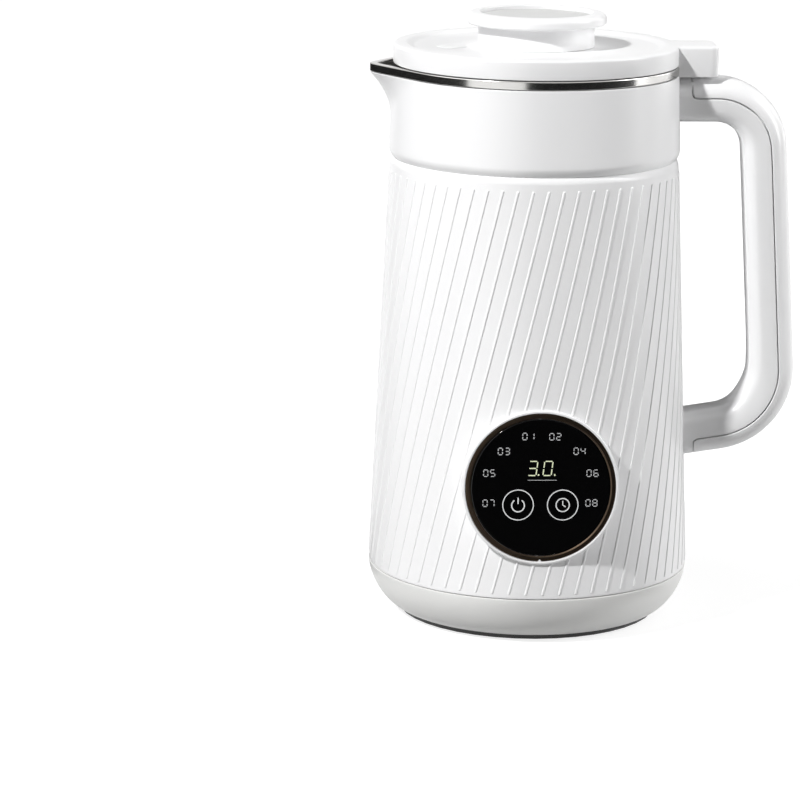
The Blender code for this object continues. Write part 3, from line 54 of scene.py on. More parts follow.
def linear(hexColour):
    # an sRGB hex value as the linear colour that a shader wants
    parts = [int(hexColour[i:i + 2], 16) / 255 for i in (0, 2, 4)]
    return tuple(c / 12.92 if c <= 0.04045 else ((c + 0.055) / 1.055) ** 2.4 for c in parts) + (1.0,)


def addNode(tree, kind, values=None, links=None, **settings):
    # one node with its own settings, its input values and what feeds its inputs
    node = tree.nodes.new("ShaderNode" + kind)
    for key, value in settings.items():
        setattr(node, key, value)
    for key, value in (values or {}).items():
        node.inputs[key].default_value = value
    for key, source in (links or {}).items():
        tree.links.new(source, node.inputs[key])
    return node


def newMaterial(name):
    # a material, its node tree and the shader that the tree starts with
    made = bpy.data.materials.new(name)
    made.use_nodes = True
    return made, made.node_tree, made.node_tree.nodes["Principled BSDF"]


def newObject(name, data):
    # an object at the origin, in the scene
    made = bpy.data.objects.new(name, data)
    bpy.context.scene.collection.objects.link(made)
    return made


# What a look has where it says nothing else: the sizes of its drift and its patches and the
# grain's depth in millimetres, the bump's strength, and no other sockets set.
plainLook = {"driftSize": 40, "patchSize": 9, "grainDepth": 0.02, "bump": 0.3, "sockets": {}}
metal = {"Metallic": 1.0}


def makeFinish(name, look):
    # colour drifts slowly over the surface, roughness varies in patches, and a fine grain
    # gives the bump; all three are noises in Object coordinates with sizes in millimetres
    look = {**plainLook, **look}
    made, tree, shader = newMaterial(name)
    place = addNode(tree, "TexCoord").outputs["Object"]
    if "stretch" in look:
        place = addNode(tree, "Mapping", {"Scale": look["stretch"]}, {"Vector": place}).outputs["Vector"]
    drift = addNode(tree, "TexNoise", {"Scale": 1000 / look["driftSize"], "Detail": 2.0},
                    {"Vector": place})
    tint = addNode(tree, "MixRGB", {"Color1": linear(look["colour"]), "Color2": linear(look["tint"])},
                   {"Fac": drift.outputs["Fac"]})
    tree.links.new(tint.outputs["Color"], shader.inputs["Base Color"])
    patch = addNode(tree, "TexNoise", {"Scale": 1000 / look["patchSize"], "Detail": 5.0,
                                       "Roughness": 0.6}, {"Vector": place})
    low, high = look["roughness"]
    spread = addNode(tree, "MapRange", {"From Min": 0.3, "From Max": 0.7, "To Min": low, "To Max": high},
                     {"Value": patch.outputs["Fac"]})
    tree.links.new(spread.outputs["Result"], shader.inputs["Roughness"])
    grain = addNode(tree, "TexNoise", {"Scale": 1000 / look["grainSize"], "Detail": 3.0},
                    {"Vector": place})
    bump = addNode(tree, "Bump", {"Strength": look["bump"], "Distance": look["grainDepth"] / 1000},
                   {"Height": grain.outputs["Fac"]})
    tree.links.new(bump.outputs["Normal"], shader.inputs["Normal"])
    for socket, value in look["sockets"].items():
        shader.inputs[socket].default_value = value
    return made


# One entry for each material slot of the record, with grainSize and grainDepth in millimetres.
# The ripple of polished plastic has its real size. Grains, pores and cutting marks are several
# times finer on the real surfaces, and are drawn this coarse to show.
finishes = {
    # ABS, injection moulded in a polished tool: clean white with a soft gloss and a faint ripple
    "white_abs": ("mouldedWhiteAbs", {
        "colour": "f2f2f2", "tint": "efeff0", "roughness": (0.29, 0.33), "grainSize": 3.0,
        "grainDepth": 0.003, "bump": 0.2, "driftSize": 60, "patchSize": 20,
        "sockets": {"IOR": 1.53, "Specular IOR Level": 0.5}}),
    # ABS, injection moulded in a pale warm grey: the base bowl, a touch duller than the body
    "pale_abs": ("mouldedPaleAbs", {
        "colour": "e9e9e7", "tint": "e5e5e3", "roughness": (0.31, 0.37), "grainSize": 3.0,
        "grainDepth": 0.004, "bump": 0.2, "driftSize": 60, "patchSize": 20, "sockets": {"IOR": 1.53}}),
    # ABS, injection moulded in a light grey: the same tool finish, slightly duller
    "grey_abs": ("mouldedGreyAbs", {
        "colour": "cfcfce", "tint": "cacac9", "roughness": (0.30, 0.38), "grainSize": 1.6,
        "grainDepth": 0.008, "bump": 0.25, "sockets": {"IOR": 1.53}}),
    # nylon, moulded with a spark-eroded grain: matt black that breaks the highlight up
    "black_nylon": ("grainedBlackNylon", {
        "colour": "161616", "tint": "1b1b1b", "roughness": (0.42, 0.55), "grainSize": 0.7,
        "grainDepth": 0.03, "bump": 0.5, "sockets": {"IOR": 1.53}}),
    # acrylic, polished and printed black behind: a deep mirror-like black
    "black_lens": ("polishedBlackAcrylic", {
        "colour": "030303", "tint": "040405", "roughness": (0.04, 0.07), "grainSize": 8.0,
        "grainDepth": 0.002, "bump": 0.1, "sockets": {"IOR": 1.49}}),
    # aluminium, turned and anodised bronze: fine rings and a warm brown sheen
    "bronze_trim": ("anodisedBronzeAluminium", {
        "colour": "564a3e", "tint": "4a3f35", "roughness": (0.34, 0.42), "grainSize": 0.35,
        "grainDepth": 0.01, "sockets": metal}),
    # 304 stainless steel, deep drawn and polished: bright, with a faint horizontal lap
    "liner_steel": ("polishedStainlessSteel", {
        "colour": "c9c8c6", "tint": "bdbcba", "roughness": (0.12, 0.20), "grainSize": 0.5,
        "grainDepth": 0.01, "bump": 0.25, "stretch": (0.12, 0.12, 1.0), "sockets": metal}),
    # stainless steel, turned and ground: satin with fine scratches round the axis
    "turned_steel": ("groundStainlessSteel", {
        "colour": "b6b5b3", "tint": "a8a7a6", "roughness": (0.22, 0.34), "grainSize": 0.3,
        "stretch": (0.2, 0.2, 1.0), "sockets": metal}),
    # mild steel, pressed and zinc plated: cool grey with cloudy patches
    "zinc_steel": ("zincPlatedSteel", {
        "colour": "a3a5a9", "tint": "8f9194", "roughness": (0.30, 0.45), "patchSize": 3,
        "grainSize": 0.5, "sockets": metal}),
    # aluminium sheet, pressed: pale satin grey with rolling marks
    "cast_aluminium": ("pressedAluminium", {
        "colour": "cdced0", "tint": "bfc0c2", "roughness": (0.32, 0.44), "grainSize": 0.4,
        "stretch": (1.0, 0.15, 1.0), "sockets": metal}),
    # copper, turned: the armature's contact bars, darkened where the brushes run
    "copper_bars": ("turnedCopper", {
        "colour": "c98a68", "tint": "8e5c44", "roughness": (0.25, 0.40), "driftSize": 4,
        "grainSize": 0.3, "sockets": metal}),
    # bronze powder, pressed and sintered: fine pores soaked with oil
    "bearing_bronze": ("sinteredBronze", {
        "colour": "a3814f", "tint": "8a6b40", "roughness": (0.38, 0.55), "grainSize": 0.25,
        "grainDepth": 0.03, "bump": 0.5, "sockets": metal}),
    # brass rod, drawn and nickel free: the inlet's contact pins
    "pin_brass": ("drawnBrass", {
        "colour": "c9a962", "tint": "b8964f", "roughness": (0.22, 0.34), "grainSize": 0.3,
        "grainDepth": 0.01, "sockets": metal}),
    # natural rubber filled with soot, pressed: dull black with a dusty bloom
    "black_rubber": ("pressedBlackRubber", {
        "colour": "151515", "tint": "202020", "roughness": (0.70, 0.85), "driftSize": 6,
        "grainSize": 0.6, "grainDepth": 0.04, "bump": 0.5, "sockets": {"IOR": 1.52}}),
    # silicone, moulded: milky and soft looking, light goes a little way in
    "clear_silicone": ("mouldedSilicone", {
        "colour": "dddcd8", "tint": "d2d1cd", "roughness": (0.45, 0.58), "grainSize": 0.8,
        "sockets": {"IOR": 1.41, "Subsurface Weight": 0.25, "Subsurface Scale": 0.002}}),
    # glass-filled epoxy under a green solder mask: the weave shows as a faint grain
    "board_laminate": ("solderMaskedLaminate", {
        "colour": "1c5b33", "tint": "17502c", "roughness": (0.30, 0.45), "grainSize": 0.6,
        "bump": 0.4, "sockets": {"IOR": 1.55}}),
    # ferrite, pressed, fired and ground: dark grey ceramic
    "ferrite": ("groundFerrite", {
        "colour": "3b3b3e", "tint": "333336", "roughness": (0.45, 0.60), "grainSize": 0.4,
        "bump": 0.4, "sockets": {"IOR": 1.8}}),
    # carbon powder, pressed: soft black with a slight sheen
    "carbon_block": ("pressedCarbon", {
        "colour": "1d1d1e", "tint": "262627", "roughness": (0.50, 0.65), "grainSize": 0.3,
        "bump": 0.4, "sockets": {"IOR": 1.6}}),
}
finish = {slot: makeFinish(name, look) for slot, (name, look) in finishes.items()}
print("materials made:", len(finish))


# Shapes

def gridFaces(rows, cols, closeRows, closeCols):
    # the quads between neighbouring points of a grid, wrapped round where it is closed
    a, b = np.meshgrid(np.arange(rows - (not closeRows)), np.arange(cols - (not closeCols)), indexing="ij")
    c, d = (a + 1) % rows, (b + 1) % cols
    return np.stack([a * cols + b, c * cols + b, c * cols + d, a * cols + d], -1).reshape(-1, 4)


mergeWithin, emptyWithin = 1e-6, 1e-7   # metres: points this near are one, faces this thin go


def meshFrom(name, parts, sharpAngle=38.0):
    # a mesh from one or more grids of points in millimetres; edges that turn by more than the
    # angle in degrees are sharp, the rest of it is smooth
    faces, start = [], 0
    for grid, closeRows, closeCols in parts:
        rows, cols = grid.shape[:2]
        faces.append(gridFaces(rows, cols, closeRows, closeCols) + start)
        start += rows * cols
    faces = np.vstack(faces).astype(np.int32)
    points = np.vstack([grid.reshape(-1, 3) for grid, _, _ in parts]) / 1000
    mesh = bpy.data.meshes.new(name)
    mesh.vertices.add(len(points))
    mesh.vertices.foreach_set("co", points.astype(np.float32).ravel())
    mesh.loops.add(faces.size)
    mesh.loops.foreach_set("vertex_index", faces.ravel())
    mesh.polygons.add(len(faces))
    mesh.polygons.foreach_set("loop_start", np.arange(0, faces.size, 4, dtype=np.int32))
    mesh.update(calc_edges=True)
    tidy = bmesh.new()
    tidy.from_mesh(mesh)
    bmesh.ops.remove_doubles(tidy, verts=tidy.verts, dist=mergeWithin)
    bmesh.ops.dissolve_degenerate(tidy, edges=tidy.edges, dist=emptyWithin)
    bmesh.ops.recalc_face_normals(tidy, faces=tidy.faces)
    tidy.to_mesh(mesh)
    tidy.free()
    mesh.shade_smooth()
    mesh.set_sharp_from_angle(angle=math.radians(sharpAngle))
    return mesh


def makePiece(name, parts, body, nodes, slotName, material=None, **edges):
    # a mesh that rides on a body, stands for the nodes and takes its finish from a slot
    mesh = meshFrom(name, parts, **edges)
    mesh.materials.append(material or finish[slotName])
    piece = newObject(name, mesh)
    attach(piece, body)
    if nodes:
        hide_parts(*nodes)
    return piece


def cutOut(piece, parts):
    # closed parts taken out of a piece with a Boolean modifier, whose result becomes its mesh
    cutter = newObject("cutter", meshFrom("cutter", parts))
    opening = piece.modifiers.new("opening", "BOOLEAN")
    opening.operation = "DIFFERENCE"
    opening.solver = "EXACT"
    opening.object = cutter
    whole = piece.evaluated_get(bpy.context.evaluated_depsgraph_get())
    made = bpy.data.meshes.new_from_object(whole)
    piece.modifiers.remove(opening)
    bpy.data.objects.remove(cutter)
    before, piece.data = piece.data, made
    bpy.data.meshes.remove(before)
    made.name = piece.name


def roundedLoop(corners, steps=6, hold=0.12):
    # a closed outline whose corners (a, b, radius) become arcs that touch both their sides, or
    # stay sharp without a radius; a point held just beyond each end of an arc keeps the flat
    # beside it looking flat
    points, count = [], len(corners)
    for i, corner in enumerate(corners):
        here = np.array(corner[:2], float)
        back = np.array(corners[i - 1][:2], float) - here
        ahead = np.array(corners[(i + 1) % count][:2], float) - here
        radius = corner[2] if len(corner) > 2 else 0.0
        backLength, aheadLength = np.linalg.norm(back), np.linalg.norm(ahead)
        back, ahead = back / backLength, ahead / aheadLength
        half = math.acos(float(np.clip(back @ ahead, -1, 1))) / 2
        if radius <= 0 or half > math.pi / 2 - 0.01:
            points.append(here[None])
            continue
        reach = min(radius / math.tan(half), 0.49 * backLength, 0.49 * aheadLength)
        radius = reach * math.tan(half)
        middle = back + ahead
        centre = here + middle / np.linalg.norm(middle) * radius / math.sin(half)
        first, last = here + back * reach - centre, here + ahead * reach - centre
        start = math.atan2(first[1], first[0])
        turn = (math.atan2(last[1], last[0]) - start + math.pi) % math.tau - math.pi
        angles = start + turn * np.linspace(0, 1, steps + 1)
        points.append((here + back * min(reach + hold, 0.5 * (reach + backLength)))[None])
        points.append(centre + radius * np.column_stack([np.cos(angles), np.sin(angles)]))
        points.append((here + ahead * min(reach + hold, 0.5 * (reach + aheadLength)))[None])
    return np.vstack(points)


def refined(loop, step):
    # the same closed outline with its long sides cut into steps
    nextOnes = np.roll(loop, -1, axis=0)
    made = []
    for a, b in zip(loop, nextOnes):
        parts = max(1, int(np.linalg.norm(b - a) / step))
        made.append(a + (b - a) * (np.arange(parts) / parts)[:, None])
    return np.vstack(made)


def quarterAngles(count):
    # evenly spaced angles from zero to a quarter turn
    return np.linspace(0, math.pi / 2, count)


def smoothShare(share):
    # 3 share^2 - 2 share^3, which leaves zero and reaches one without a corner
    return share * share * (3 - 2 * share)


def onRing(radius, angle, height):
    # points at a radius and an angle round the Z axis, and at a height
    return np.stack(np.broadcast_arrays(radius * np.cos(angle), radius * np.sin(angle), height), -1)


def turnedGrid(loop, segments=192):
    # a profile (radius, height) carried once round the Z axis
    angle = np.linspace(0, math.tau, segments, endpoint=False)
    return onRing(loop[:, 0:1], angle, loop[:, 1:2])


def turnedPart(corners, segments=192, steps=6):
    # the same with a rounded outline, closed both along the profile and round the axis
    return (turnedGrid(roundedLoop(corners, steps), segments), True, True)


def placed(part, matrix):
    # the same part moved by a 4 x 4 matrix whose lengths are in millimetres
    grid, closeRows, closeCols = part
    turn = np.array(matrix.to_3x3())
    shift = np.array(matrix.translation)
    return (grid @ turn.T + shift, closeRows, closeCols)


def cappedPart(rows):
    # a tube of rows, closed at both ends with a point in each end's middle
    first = np.broadcast_to(rows[0].mean(0), rows[0].shape)[None]
    last = np.broadcast_to(rows[-1].mean(0), rows[-1].shape)[None]
    return (np.concatenate([first, rows, last]), False, True)


# Ribbed body and base

bodyShape = {
    "seamZ": 18.5, "topZ": 178.0, "bottomR": 62.3, "topR": 55.5, "wall": 2.2,
    "grooveHigh": 2.9, "grooveDeep": 1.1,   # the body's half of the V groove under the collar
    "ribCount": 61, "ribHigh": 0.30, "ribHalf": 0.55, "ribTwist": 35.8, "ribPhase": -94.3,
    "ribLow": 20.0, "ribTop": 173.2, "ribRows": 44,
    "ribClear": 0.2, "topRow": 0.8, "footRows": (0.35, 0.9),   # plain rows beside the ribs' ends
    "footIn": 0.35, "footEdge": 0.1,        # the broken edge along the seam
}


def bodyRadius(z, s=bodyShape):
    # the body tapers evenly from its foot to the V groove
    share = (z - s["seamZ"]) / (s["topZ"] - s["grooveHigh"] - s["seamZ"])
    return s["bottomR"] + (s["topR"] - s["bottomR"]) * share


def makeBody(s=bodyShape):
    # columns follow the ribs: angle = phase + place in the row - twist * height, and the radius
    # gains a half-round rib of height sqrt(1 - (x / half width)^2), which also closes each end
    across = np.array([-1.3, -1.0, -0.93, -0.75, -0.45, 0.0, 0.45, 0.75, 0.93, 1.0, 1.3, 3.2, 8.0])
    endSteps = np.array([0.0, 0.08, 0.25, 0.5, 0.85]) * s["ribHalf"]
    middle = np.linspace(s["ribLow"] + s["ribHalf"], s["ribTop"] - s["ribHalf"], s["ribRows"])
    heights = np.concatenate([s["seamZ"] + np.array(s["footRows"]), [s["ribLow"] - s["ribClear"]],
                              s["ribLow"] + endSteps, middle, s["ribTop"] - endSteps[::-1],
                              [s["ribTop"] + s["ribClear"], s["topZ"] - s["grooveHigh"] - s["topRow"]]])

    def twistAt(z):
        return math.radians(s["ribTwist"]) * (s["ribTop"] - z) / (s["ribTop"] - s["ribLow"])

    z = heights[:, None, None]
    end = np.clip(np.minimum(z - s["ribLow"], s["ribTop"] - z) / s["ribHalf"], 0, 1)
    roundEnd = np.sqrt(np.clip(1 - (1 - end) ** 2, 0, 1))
    rise = s["ribHigh"] * np.sqrt(np.clip(roundEnd ** 2 - across ** 2, 0, 1))
    order = np.arange(s["ribCount"])[None, :, None] * math.tau / s["ribCount"]
    angle = math.radians(s["ribPhase"]) - twistAt(z) + order + across * s["ribHalf"] / bodyRadius(z)
    outer = onRing(bodyRadius(z) + rise, angle, z).reshape(len(heights), -1, 3)
    # plain rings on the nearest row's angles: the groove, whose depth grows with the square of
    # the height, the wall inside, which turns with the ribs, and the foot
    lowAngle, topAngle = (np.arctan2(outer[row, :, 1], outer[row, :, 0]) for row in (0, -1))
    share = np.linspace(0, 1, 9)[:, None]
    groove = onRing(s["topR"] - s["grooveDeep"] * share ** 2, topAngle,
                    s["topZ"] - s["grooveHigh"] * (1 - share))
    z = np.linspace(s["topZ"], s["seamZ"], 14)[:-1, None]
    turn = np.clip(twistAt(z), 0, math.radians(s["ribTwist"]))
    inside = onRing(bodyRadius(z) - s["wall"], topAngle - turn, z)
    footIn = np.array([s["wall"], s["footIn"], s["footEdge"]])[:, None]
    footUp = np.array([0.0, 0.0, s["footEdge"]])[:, None]
    foot = onRing(s["bottomR"] - footIn, lowAngle, s["seamZ"] + footUp)
    rows = np.concatenate([outer, groove, inside, foot])
    return makePiece("ribbed_body", [(rows, True, True)], "housing", ["body_shell"], "white_abs",
                     sharpAngle=45.0)


baseShape = {
    "edgeR": 51.0, "edgeZ": 1.3, "power": 1.6, "wall": 2.2, "steps": 40, "gap": 0.3,
    "round": 0.25, "roundShare": 0.28,      # the top edge's round, and how far its middle draws in
    "floorIn": 38.5, "floorLow": 2.3, "floorTop": 4.5, "floorInset": 1.1,   # a ring for the black plate
    "lipWall": 1.6, "lipDown": 2.5, "lipUp": 4.5,   # the lip that goes up inside the body
}


def makeBase(s=baseShape, b=bodyShape):
    # the bowl is a superellipse between the seam and the lower edge; the rest goes back inside,
    # over the floor's ring and up the lip
    t = quarterAngles(s["steps"])
    bowlR = s["edgeR"] + (b["bottomR"] - s["edgeR"]) * np.cos(t) ** (2 / s["power"])
    top = b["seamZ"] - s["gap"]
    high = top - s["round"]
    bowlZ = high - (high - s["edgeZ"]) * np.sin(t) ** (2 / s["power"])
    inner, lip = s["edgeR"] - s["wall"], b["bottomR"] - s["wall"] - s["gap"]
    lipIn, lipTop, draw = lip - s["lipWall"], b["seamZ"] + s["lipUp"], s["roundShare"] * s["round"]
    closing = [(inner, s["edgeZ"]), (inner, s["floorLow"]), (s["floorIn"], s["floorLow"]),
               (s["floorIn"], s["floorTop"]), (s["edgeR"] - s["floorInset"], s["floorTop"]),
               (lipIn, b["seamZ"] - s["lipDown"]), (lipIn, lipTop), (lip, lipTop), (lip, top),
               (b["bottomR"] - s["round"], top), (b["bottomR"] - draw, top - draw)]
    outline = np.vstack([np.column_stack([bowlR, bowlZ]), closing])
    makePiece("base_bowl", [(turnedGrid(outline), True, True)], "housing", ["base_shell"], "pale_abs")


ribbedBody = makeBody()
makeBase()
print("body and base made")


# Collar and steel liner, both with the spout

spoutShape = {"reach": 8.6, "topZ": 210.3, "drop": 17.5, "soft": math.radians(2.5), "rimR": 54.9,
              "tipColumns": 30, "crowding": 1.6, "roundColumns": 90}
spoutTop, spoutFoot = spoutShape["topZ"], spoutShape["topZ"] - spoutShape["drop"]
collarShape = {
    "topR": 54.9, "lowR": 55.9, "lowZ": 178.05, "bevelHigh": 3.5, "bevelDeep": 1.5,
    "tuckZ": 173.8, "tuckOut": 52.9, "tuckIn": 51.9,    # the lip that goes down inside the body
    "waistIn": 53.6, "topIn": 53.1, "topRound": 0.35, "innerRound": 0.2, "step": 1.2,
}
linerShape = {
    "rimR": 54.9, "rimIn": 52.0, "rimTop": 213.75, "rimUp": 0.3, "neckR": 51.6, "waistR": 51.3,
    "lowR": 48.8, "floorZ": 96.0, "boreR": 9.3, "wall": 0.8, "floorRound": 8.0,
    "rimRound": 0.4, "underRound": 0.35, "waistRound": 30.0, "neckRound": 3.0, "mouthRound": 0.5,
    "step": 1.5,
}


def spoutGrid(loop, s=spoutShape):
    # an outline that is a circle with two straight sides to the spout's tip; the tip's reach
    # grows with the square of the height, and the sides touch the circle, so that there
    # radius = circle's radius / cos(angle from the touching point); columns crowd to the tip
    touchTop = math.acos(s["rimR"] / (s["rimR"] + s["reach"]))
    near = touchTop * (np.arange(1, s["tipColumns"] + 1) / s["tipColumns"]) ** s["crowding"]
    far = touchTop + (math.pi - touchTop) * np.arange(1, s["roundColumns"] + 1) / s["roundColumns"]
    half = np.concatenate([near, far])
    angle = np.concatenate([-half[::-1], [0.0], half[:-1]])[None, :]
    radius, z = loop[:, 0:1], loop[:, 1:2]
    reach = s["reach"] * np.clip((z - s["topZ"] + s["drop"]) / s["drop"], 0, 1) ** 2
    away = np.sqrt(angle ** 2 + s["soft"] ** 2) - s["soft"]
    touch = np.arccos(radius / (radius + reach))
    grown = np.where(away < touch, radius / np.cos(np.clip(touch - away, 0, touch)), radius)
    return onRing(-grown, angle, z)


def makeCollar(s=collarShape):
    # the collar's lower edge draws in with the square of the depth, its half of the V groove
    share = np.linspace(0, 1, 10)
    bevel = np.column_stack([s["lowR"] - s["bevelDeep"] * share ** 2,
                             s["lowZ"] + s["bevelHigh"] * (1 - share)])
    collar = [(s["topR"], spoutTop, s["topRound"]), *map(tuple, bevel), (s["tuckOut"], s["lowZ"]),
              (s["tuckOut"], s["tuckZ"]), (s["tuckIn"], s["tuckZ"]), (s["waistIn"], spoutFoot),
              (s["topIn"], spoutTop, s["innerRound"])]
    makePiece("collar_ring", [(spoutGrid(refined(roundedLoop(collar), s["step"])), True, True)],
              "housing", ["collar"], "white_abs")


def makeLiner(s=linerShape):
    # down the outside from the rim, which lies on the collar, and up the inside one wall away
    wall, rimLow, floorIn = s["wall"], spoutTop + s["rimUp"], s["floorZ"] + s["wall"]
    liner = [(s["rimR"], s["rimTop"], s["rimRound"]), (s["rimR"], rimLow, s["underRound"]),
             (s["neckR"], rimLow, s["rimRound"]), (s["waistR"], spoutFoot),
             (s["lowR"], s["floorZ"], s["floorRound"]), (s["boreR"], s["floorZ"]), (s["boreR"], floorIn),
             (s["lowR"] - wall, floorIn, s["floorRound"] - wall),
             (s["waistR"] - wall, spoutFoot, s["waistRound"]),
             (s["neckR"] - wall, spoutTop, s["neckRound"]), (s["rimIn"], s["rimTop"], s["mouthRound"])]
    makePiece("steel_liner", [(spoutGrid(refined(roundedLoop(liner, 8), s["step"])), True, True)],
              "housing", ["steel_jug"], "liner_steel")


makeCollar()
makeLiner()
print("collar and liner made")


# Lid, knob and what hangs under them

lidShape = {
    "r": 54.6, "ring": 4.4, "lowZ": 214.05, "topZ": 221.6, "dish": 1.2, "slope": 4.2, "wall": 2.0,
    "dishRows": (0.0, 22.0, 34.0, 41.0), "ringRow": 0.8, "wallRow": 3.0,    # plain rows
    "rowGap": 0.02,     # the least that a circle's row stays inside the outline
    "edge": 1.1, "lowEdge": 0.35, "plugR": 49.5, "clearR": 55.3, "clearStep": 1.0,
    "tabX": 69.2, "tabHalf": 10.5, "tabDrop": 4.2, "tabCorner": 3.2, "tabPlugX": 61.5,
    # outlines (radius, height, corner) of what hangs under it
    "underside": [(46.0, 216.1), (49.2, 216.1), (49.2, 211.0, 0.3), (47.6, 211.0), (47.6, 207.0),
                  (49.2, 207.0, 0.3), (49.2, 205.4, 0.8), (0.0, 205.4), (0.0, 207.0), (46.0, 207.0, 0.8)],
    "seal": [(47.9, 210.7, 0.2), (49.5, 210.7, 0.3), (50.5, 209.6, 0.4), (50.5, 208.1, 0.4),
             (49.5, 207.3, 0.3), (47.9, 207.3, 0.2)],
    "tabPlug": [(0.0, 211.2), (6.0, 211.2), (6.0, 210.05, 0.25), (0.0, 210.05)],
}


def lidOutline(s=lidShape):
    # a circle from one side of the tab round to the other, then the tab's three sides with
    # two rounded corners; also each point's lower edge and inward normal
    first = math.asin(s["tabHalf"] / s["r"])
    turn = np.linspace(first, math.tau - first, 241)
    circle = np.column_stack([s["r"] * np.cos(turn), s["r"] * np.sin(turn)])
    inner = s["r"] * math.cos(first)
    side = np.linspace(inner, s["tabX"] - s["tabCorner"], 14)
    quarter = quarterAngles(10)[1:]
    cornerX = s["tabX"] - s["tabCorner"] + s["tabCorner"] * np.sin(quarter)
    cornerY = s["tabHalf"] - s["tabCorner"] + s["tabCorner"] * np.cos(quarter)
    lower = np.vstack([np.column_stack([side, -s["tabHalf"] + 0 * side]),
                       np.column_stack([cornerX, -cornerY])])
    end = np.linspace(-1, 1, 12)[1:-1] * (s["tabHalf"] - s["tabCorner"])
    face = np.column_stack([s["tabX"] + 0 * end, end])
    upper = lower[::-1] * [1, -1]
    outline = np.vstack([circle, lower, face, upper])
    normal = np.vstack([-circle / s["r"], np.column_stack([0 * side, 1 + 0 * side]),
                        -np.column_stack([np.sin(quarter), -np.cos(quarter)]),
                        np.column_stack([-1 + 0 * end, 0 * end]),
                        -np.column_stack([np.sin(quarter), np.cos(quarter)])[::-1],
                        np.column_stack([0 * side, -1 + 0 * side])])
    low = np.full(len(outline), s["lowZ"] - s["tabDrop"])
    low[:len(circle)] = s["lowZ"]
    return outline, normal, low


def makeLid(s=lidShape):
    # rows go from the dish's middle out to the ring, round the outline's edge, down its wall
    # and back in underneath; inside the ring each row is a circle seen from the same angle
    outline, normal, low = lidOutline()
    angle = np.arctan2(outline[:, 1], outline[:, 0])
    spoke = np.column_stack([np.cos(angle), np.sin(angle)])
    far = np.linalg.norm(outline, axis=1)
    clear = s["clearR"] - s["clearStep"] * (low == s["lowZ"])
    ringIn, dishZ = s["r"] - s["ring"], s["topZ"] - s["dish"]
    rows = []

    def circleRow(radius, z):
        radius = np.minimum(radius, far - s["rowGap"])
        rows.append(np.column_stack([spoke * radius[:, None], np.broadcast_to(z, far.shape)]))

    def edgeRow(inset, z):
        rows.append(np.column_stack([outline + normal * inset, np.broadcast_to(z, far.shape)]))

    for radius in s["dishRows"]:
        circleRow(radius, dishZ)
    # the dish's wall is a smooth S from its floor to the ring
    for share in np.linspace(0, 1, 15):
        circleRow(ringIn - s["slope"] * (1 - share), dishZ + s["dish"] * smoothShare(share))
    circleRow(ringIn + s["ringRow"], s["topZ"])
    for turn in quarterAngles(8):
        edgeRow(s["edge"] * (1 - math.sin(turn)), s["topZ"] - s["edge"] * (1 - math.cos(turn)))
    edgeRow(0.0, s["topZ"] - s["wallRow"])
    for turn in quarterAngles(5):
        edgeRow(s["lowEdge"] * (1 - math.cos(turn)), low + s["lowEdge"] * (1 - math.sin(turn)))
    inside = s["lowZ"] + s["wall"]
    for radius, z in ((clear, low), (clear, s["lowZ"]), (s["plugR"], s["lowZ"]), (s["plugR"], inside),
                      (0.0, inside)):
        circleRow(radius, z)
    makePiece("lid_top", [(np.array(rows), False, True)], "lid", ["lid_shell"], "white_abs")
    makePiece("lid_underside", [turnedPart(s["underside"])], "lid", ["lid_inner_cover"], "white_abs")
    makePiece("mouth_seal", [turnedPart(s["seal"])], "lid", ["lid_seal"], "clear_silicone")
    tabPlug = placed(turnedPart(s["tabPlug"], 64), Matrix.Translation((s["tabPlugX"], 0.0, 0.0)))
    makePiece("tab_plug", [tabPlug], "lid", ["tab_cover"], "white_abs")


knobShape = {
    "neckR": 22.2, "neckLow": 220.45, "neckTop": 229.0, "neckEdge": 0.25,
    "capR": 26.7, "capTop": 233.5, "capLowEdge": 1.0, "capEdge": 2.2, "capMouth": 0.35, "floorDown": 1.2,
    "insertR": 21.3, "insertDown": 1.5, "insertGap": 0.25, "insertThick": 1.1, "insertEdge": 0.25,
}
ventShape = {"x": -32.4, "y": -4.0, "r": 5.6, "topZ": 221.15, "domeHigh": 0.55,
             "pipe": [(5.6, 220.45), (2.7, 220.45), (2.7, 216.6), (1.5, 216.6), (1.5, 220.6), (0.0, 220.6)]}


def makeKnob(s=knobShape):
    # a round neck, a wider cap with a round seat in its top, and the disc in that seat
    neck = [(0.0, s["neckTop"]), (s["neckR"], s["neckTop"]), (s["neckR"], s["neckLow"], s["neckEdge"]),
            (0.0, s["neckLow"])]
    makePiece("knob_neck", [turnedPart(neck)], "lid", ["knob_base"], "white_abs")
    seat = s["capTop"] - s["insertDown"]
    seatR, floor, discLow = s["insertR"] + s["insertGap"], seat - s["floorDown"], seat - s["insertThick"]
    cap = [(0.0, s["neckTop"]), (s["capR"], s["neckTop"], s["capLowEdge"]),
           (s["capR"], s["capTop"], s["capEdge"]), (seatR, s["capTop"], s["capMouth"]), (seatR, floor),
           (0.0, floor)]
    makePiece("knob_rim", [turnedPart(cap, steps=10)], "lid", ["knob_cap"], "white_abs")
    insert = [(0.0, discLow), (s["insertR"], discLow), (s["insertR"], seat, s["insertEdge"]), (0.0, seat)]
    makePiece("knob_disc", [turnedPart(insert)], "lid", ["knob_insert"], "grey_abs")


def makeVent(s=ventShape):
    # a very low dome, whose fall grows with the cube of the radius, over a short pipe
    out = np.linspace(0, 1, 10)[1:]
    dome = np.column_stack([s["r"] * out, s["topZ"] - s["domeHigh"] * out ** 3])
    vent = turnedPart([(0.0, s["topZ"]), *map(tuple, dome), *s["pipe"]], 72)
    makePiece("steam_cap", [placed(vent, Matrix.Translation((s["x"], s["y"], 0.0)))],
              "lid", ["steam_vent"], "white_abs")


makeLid()
makeKnob()
makeVent()
print("lid and knob made")


# Handle

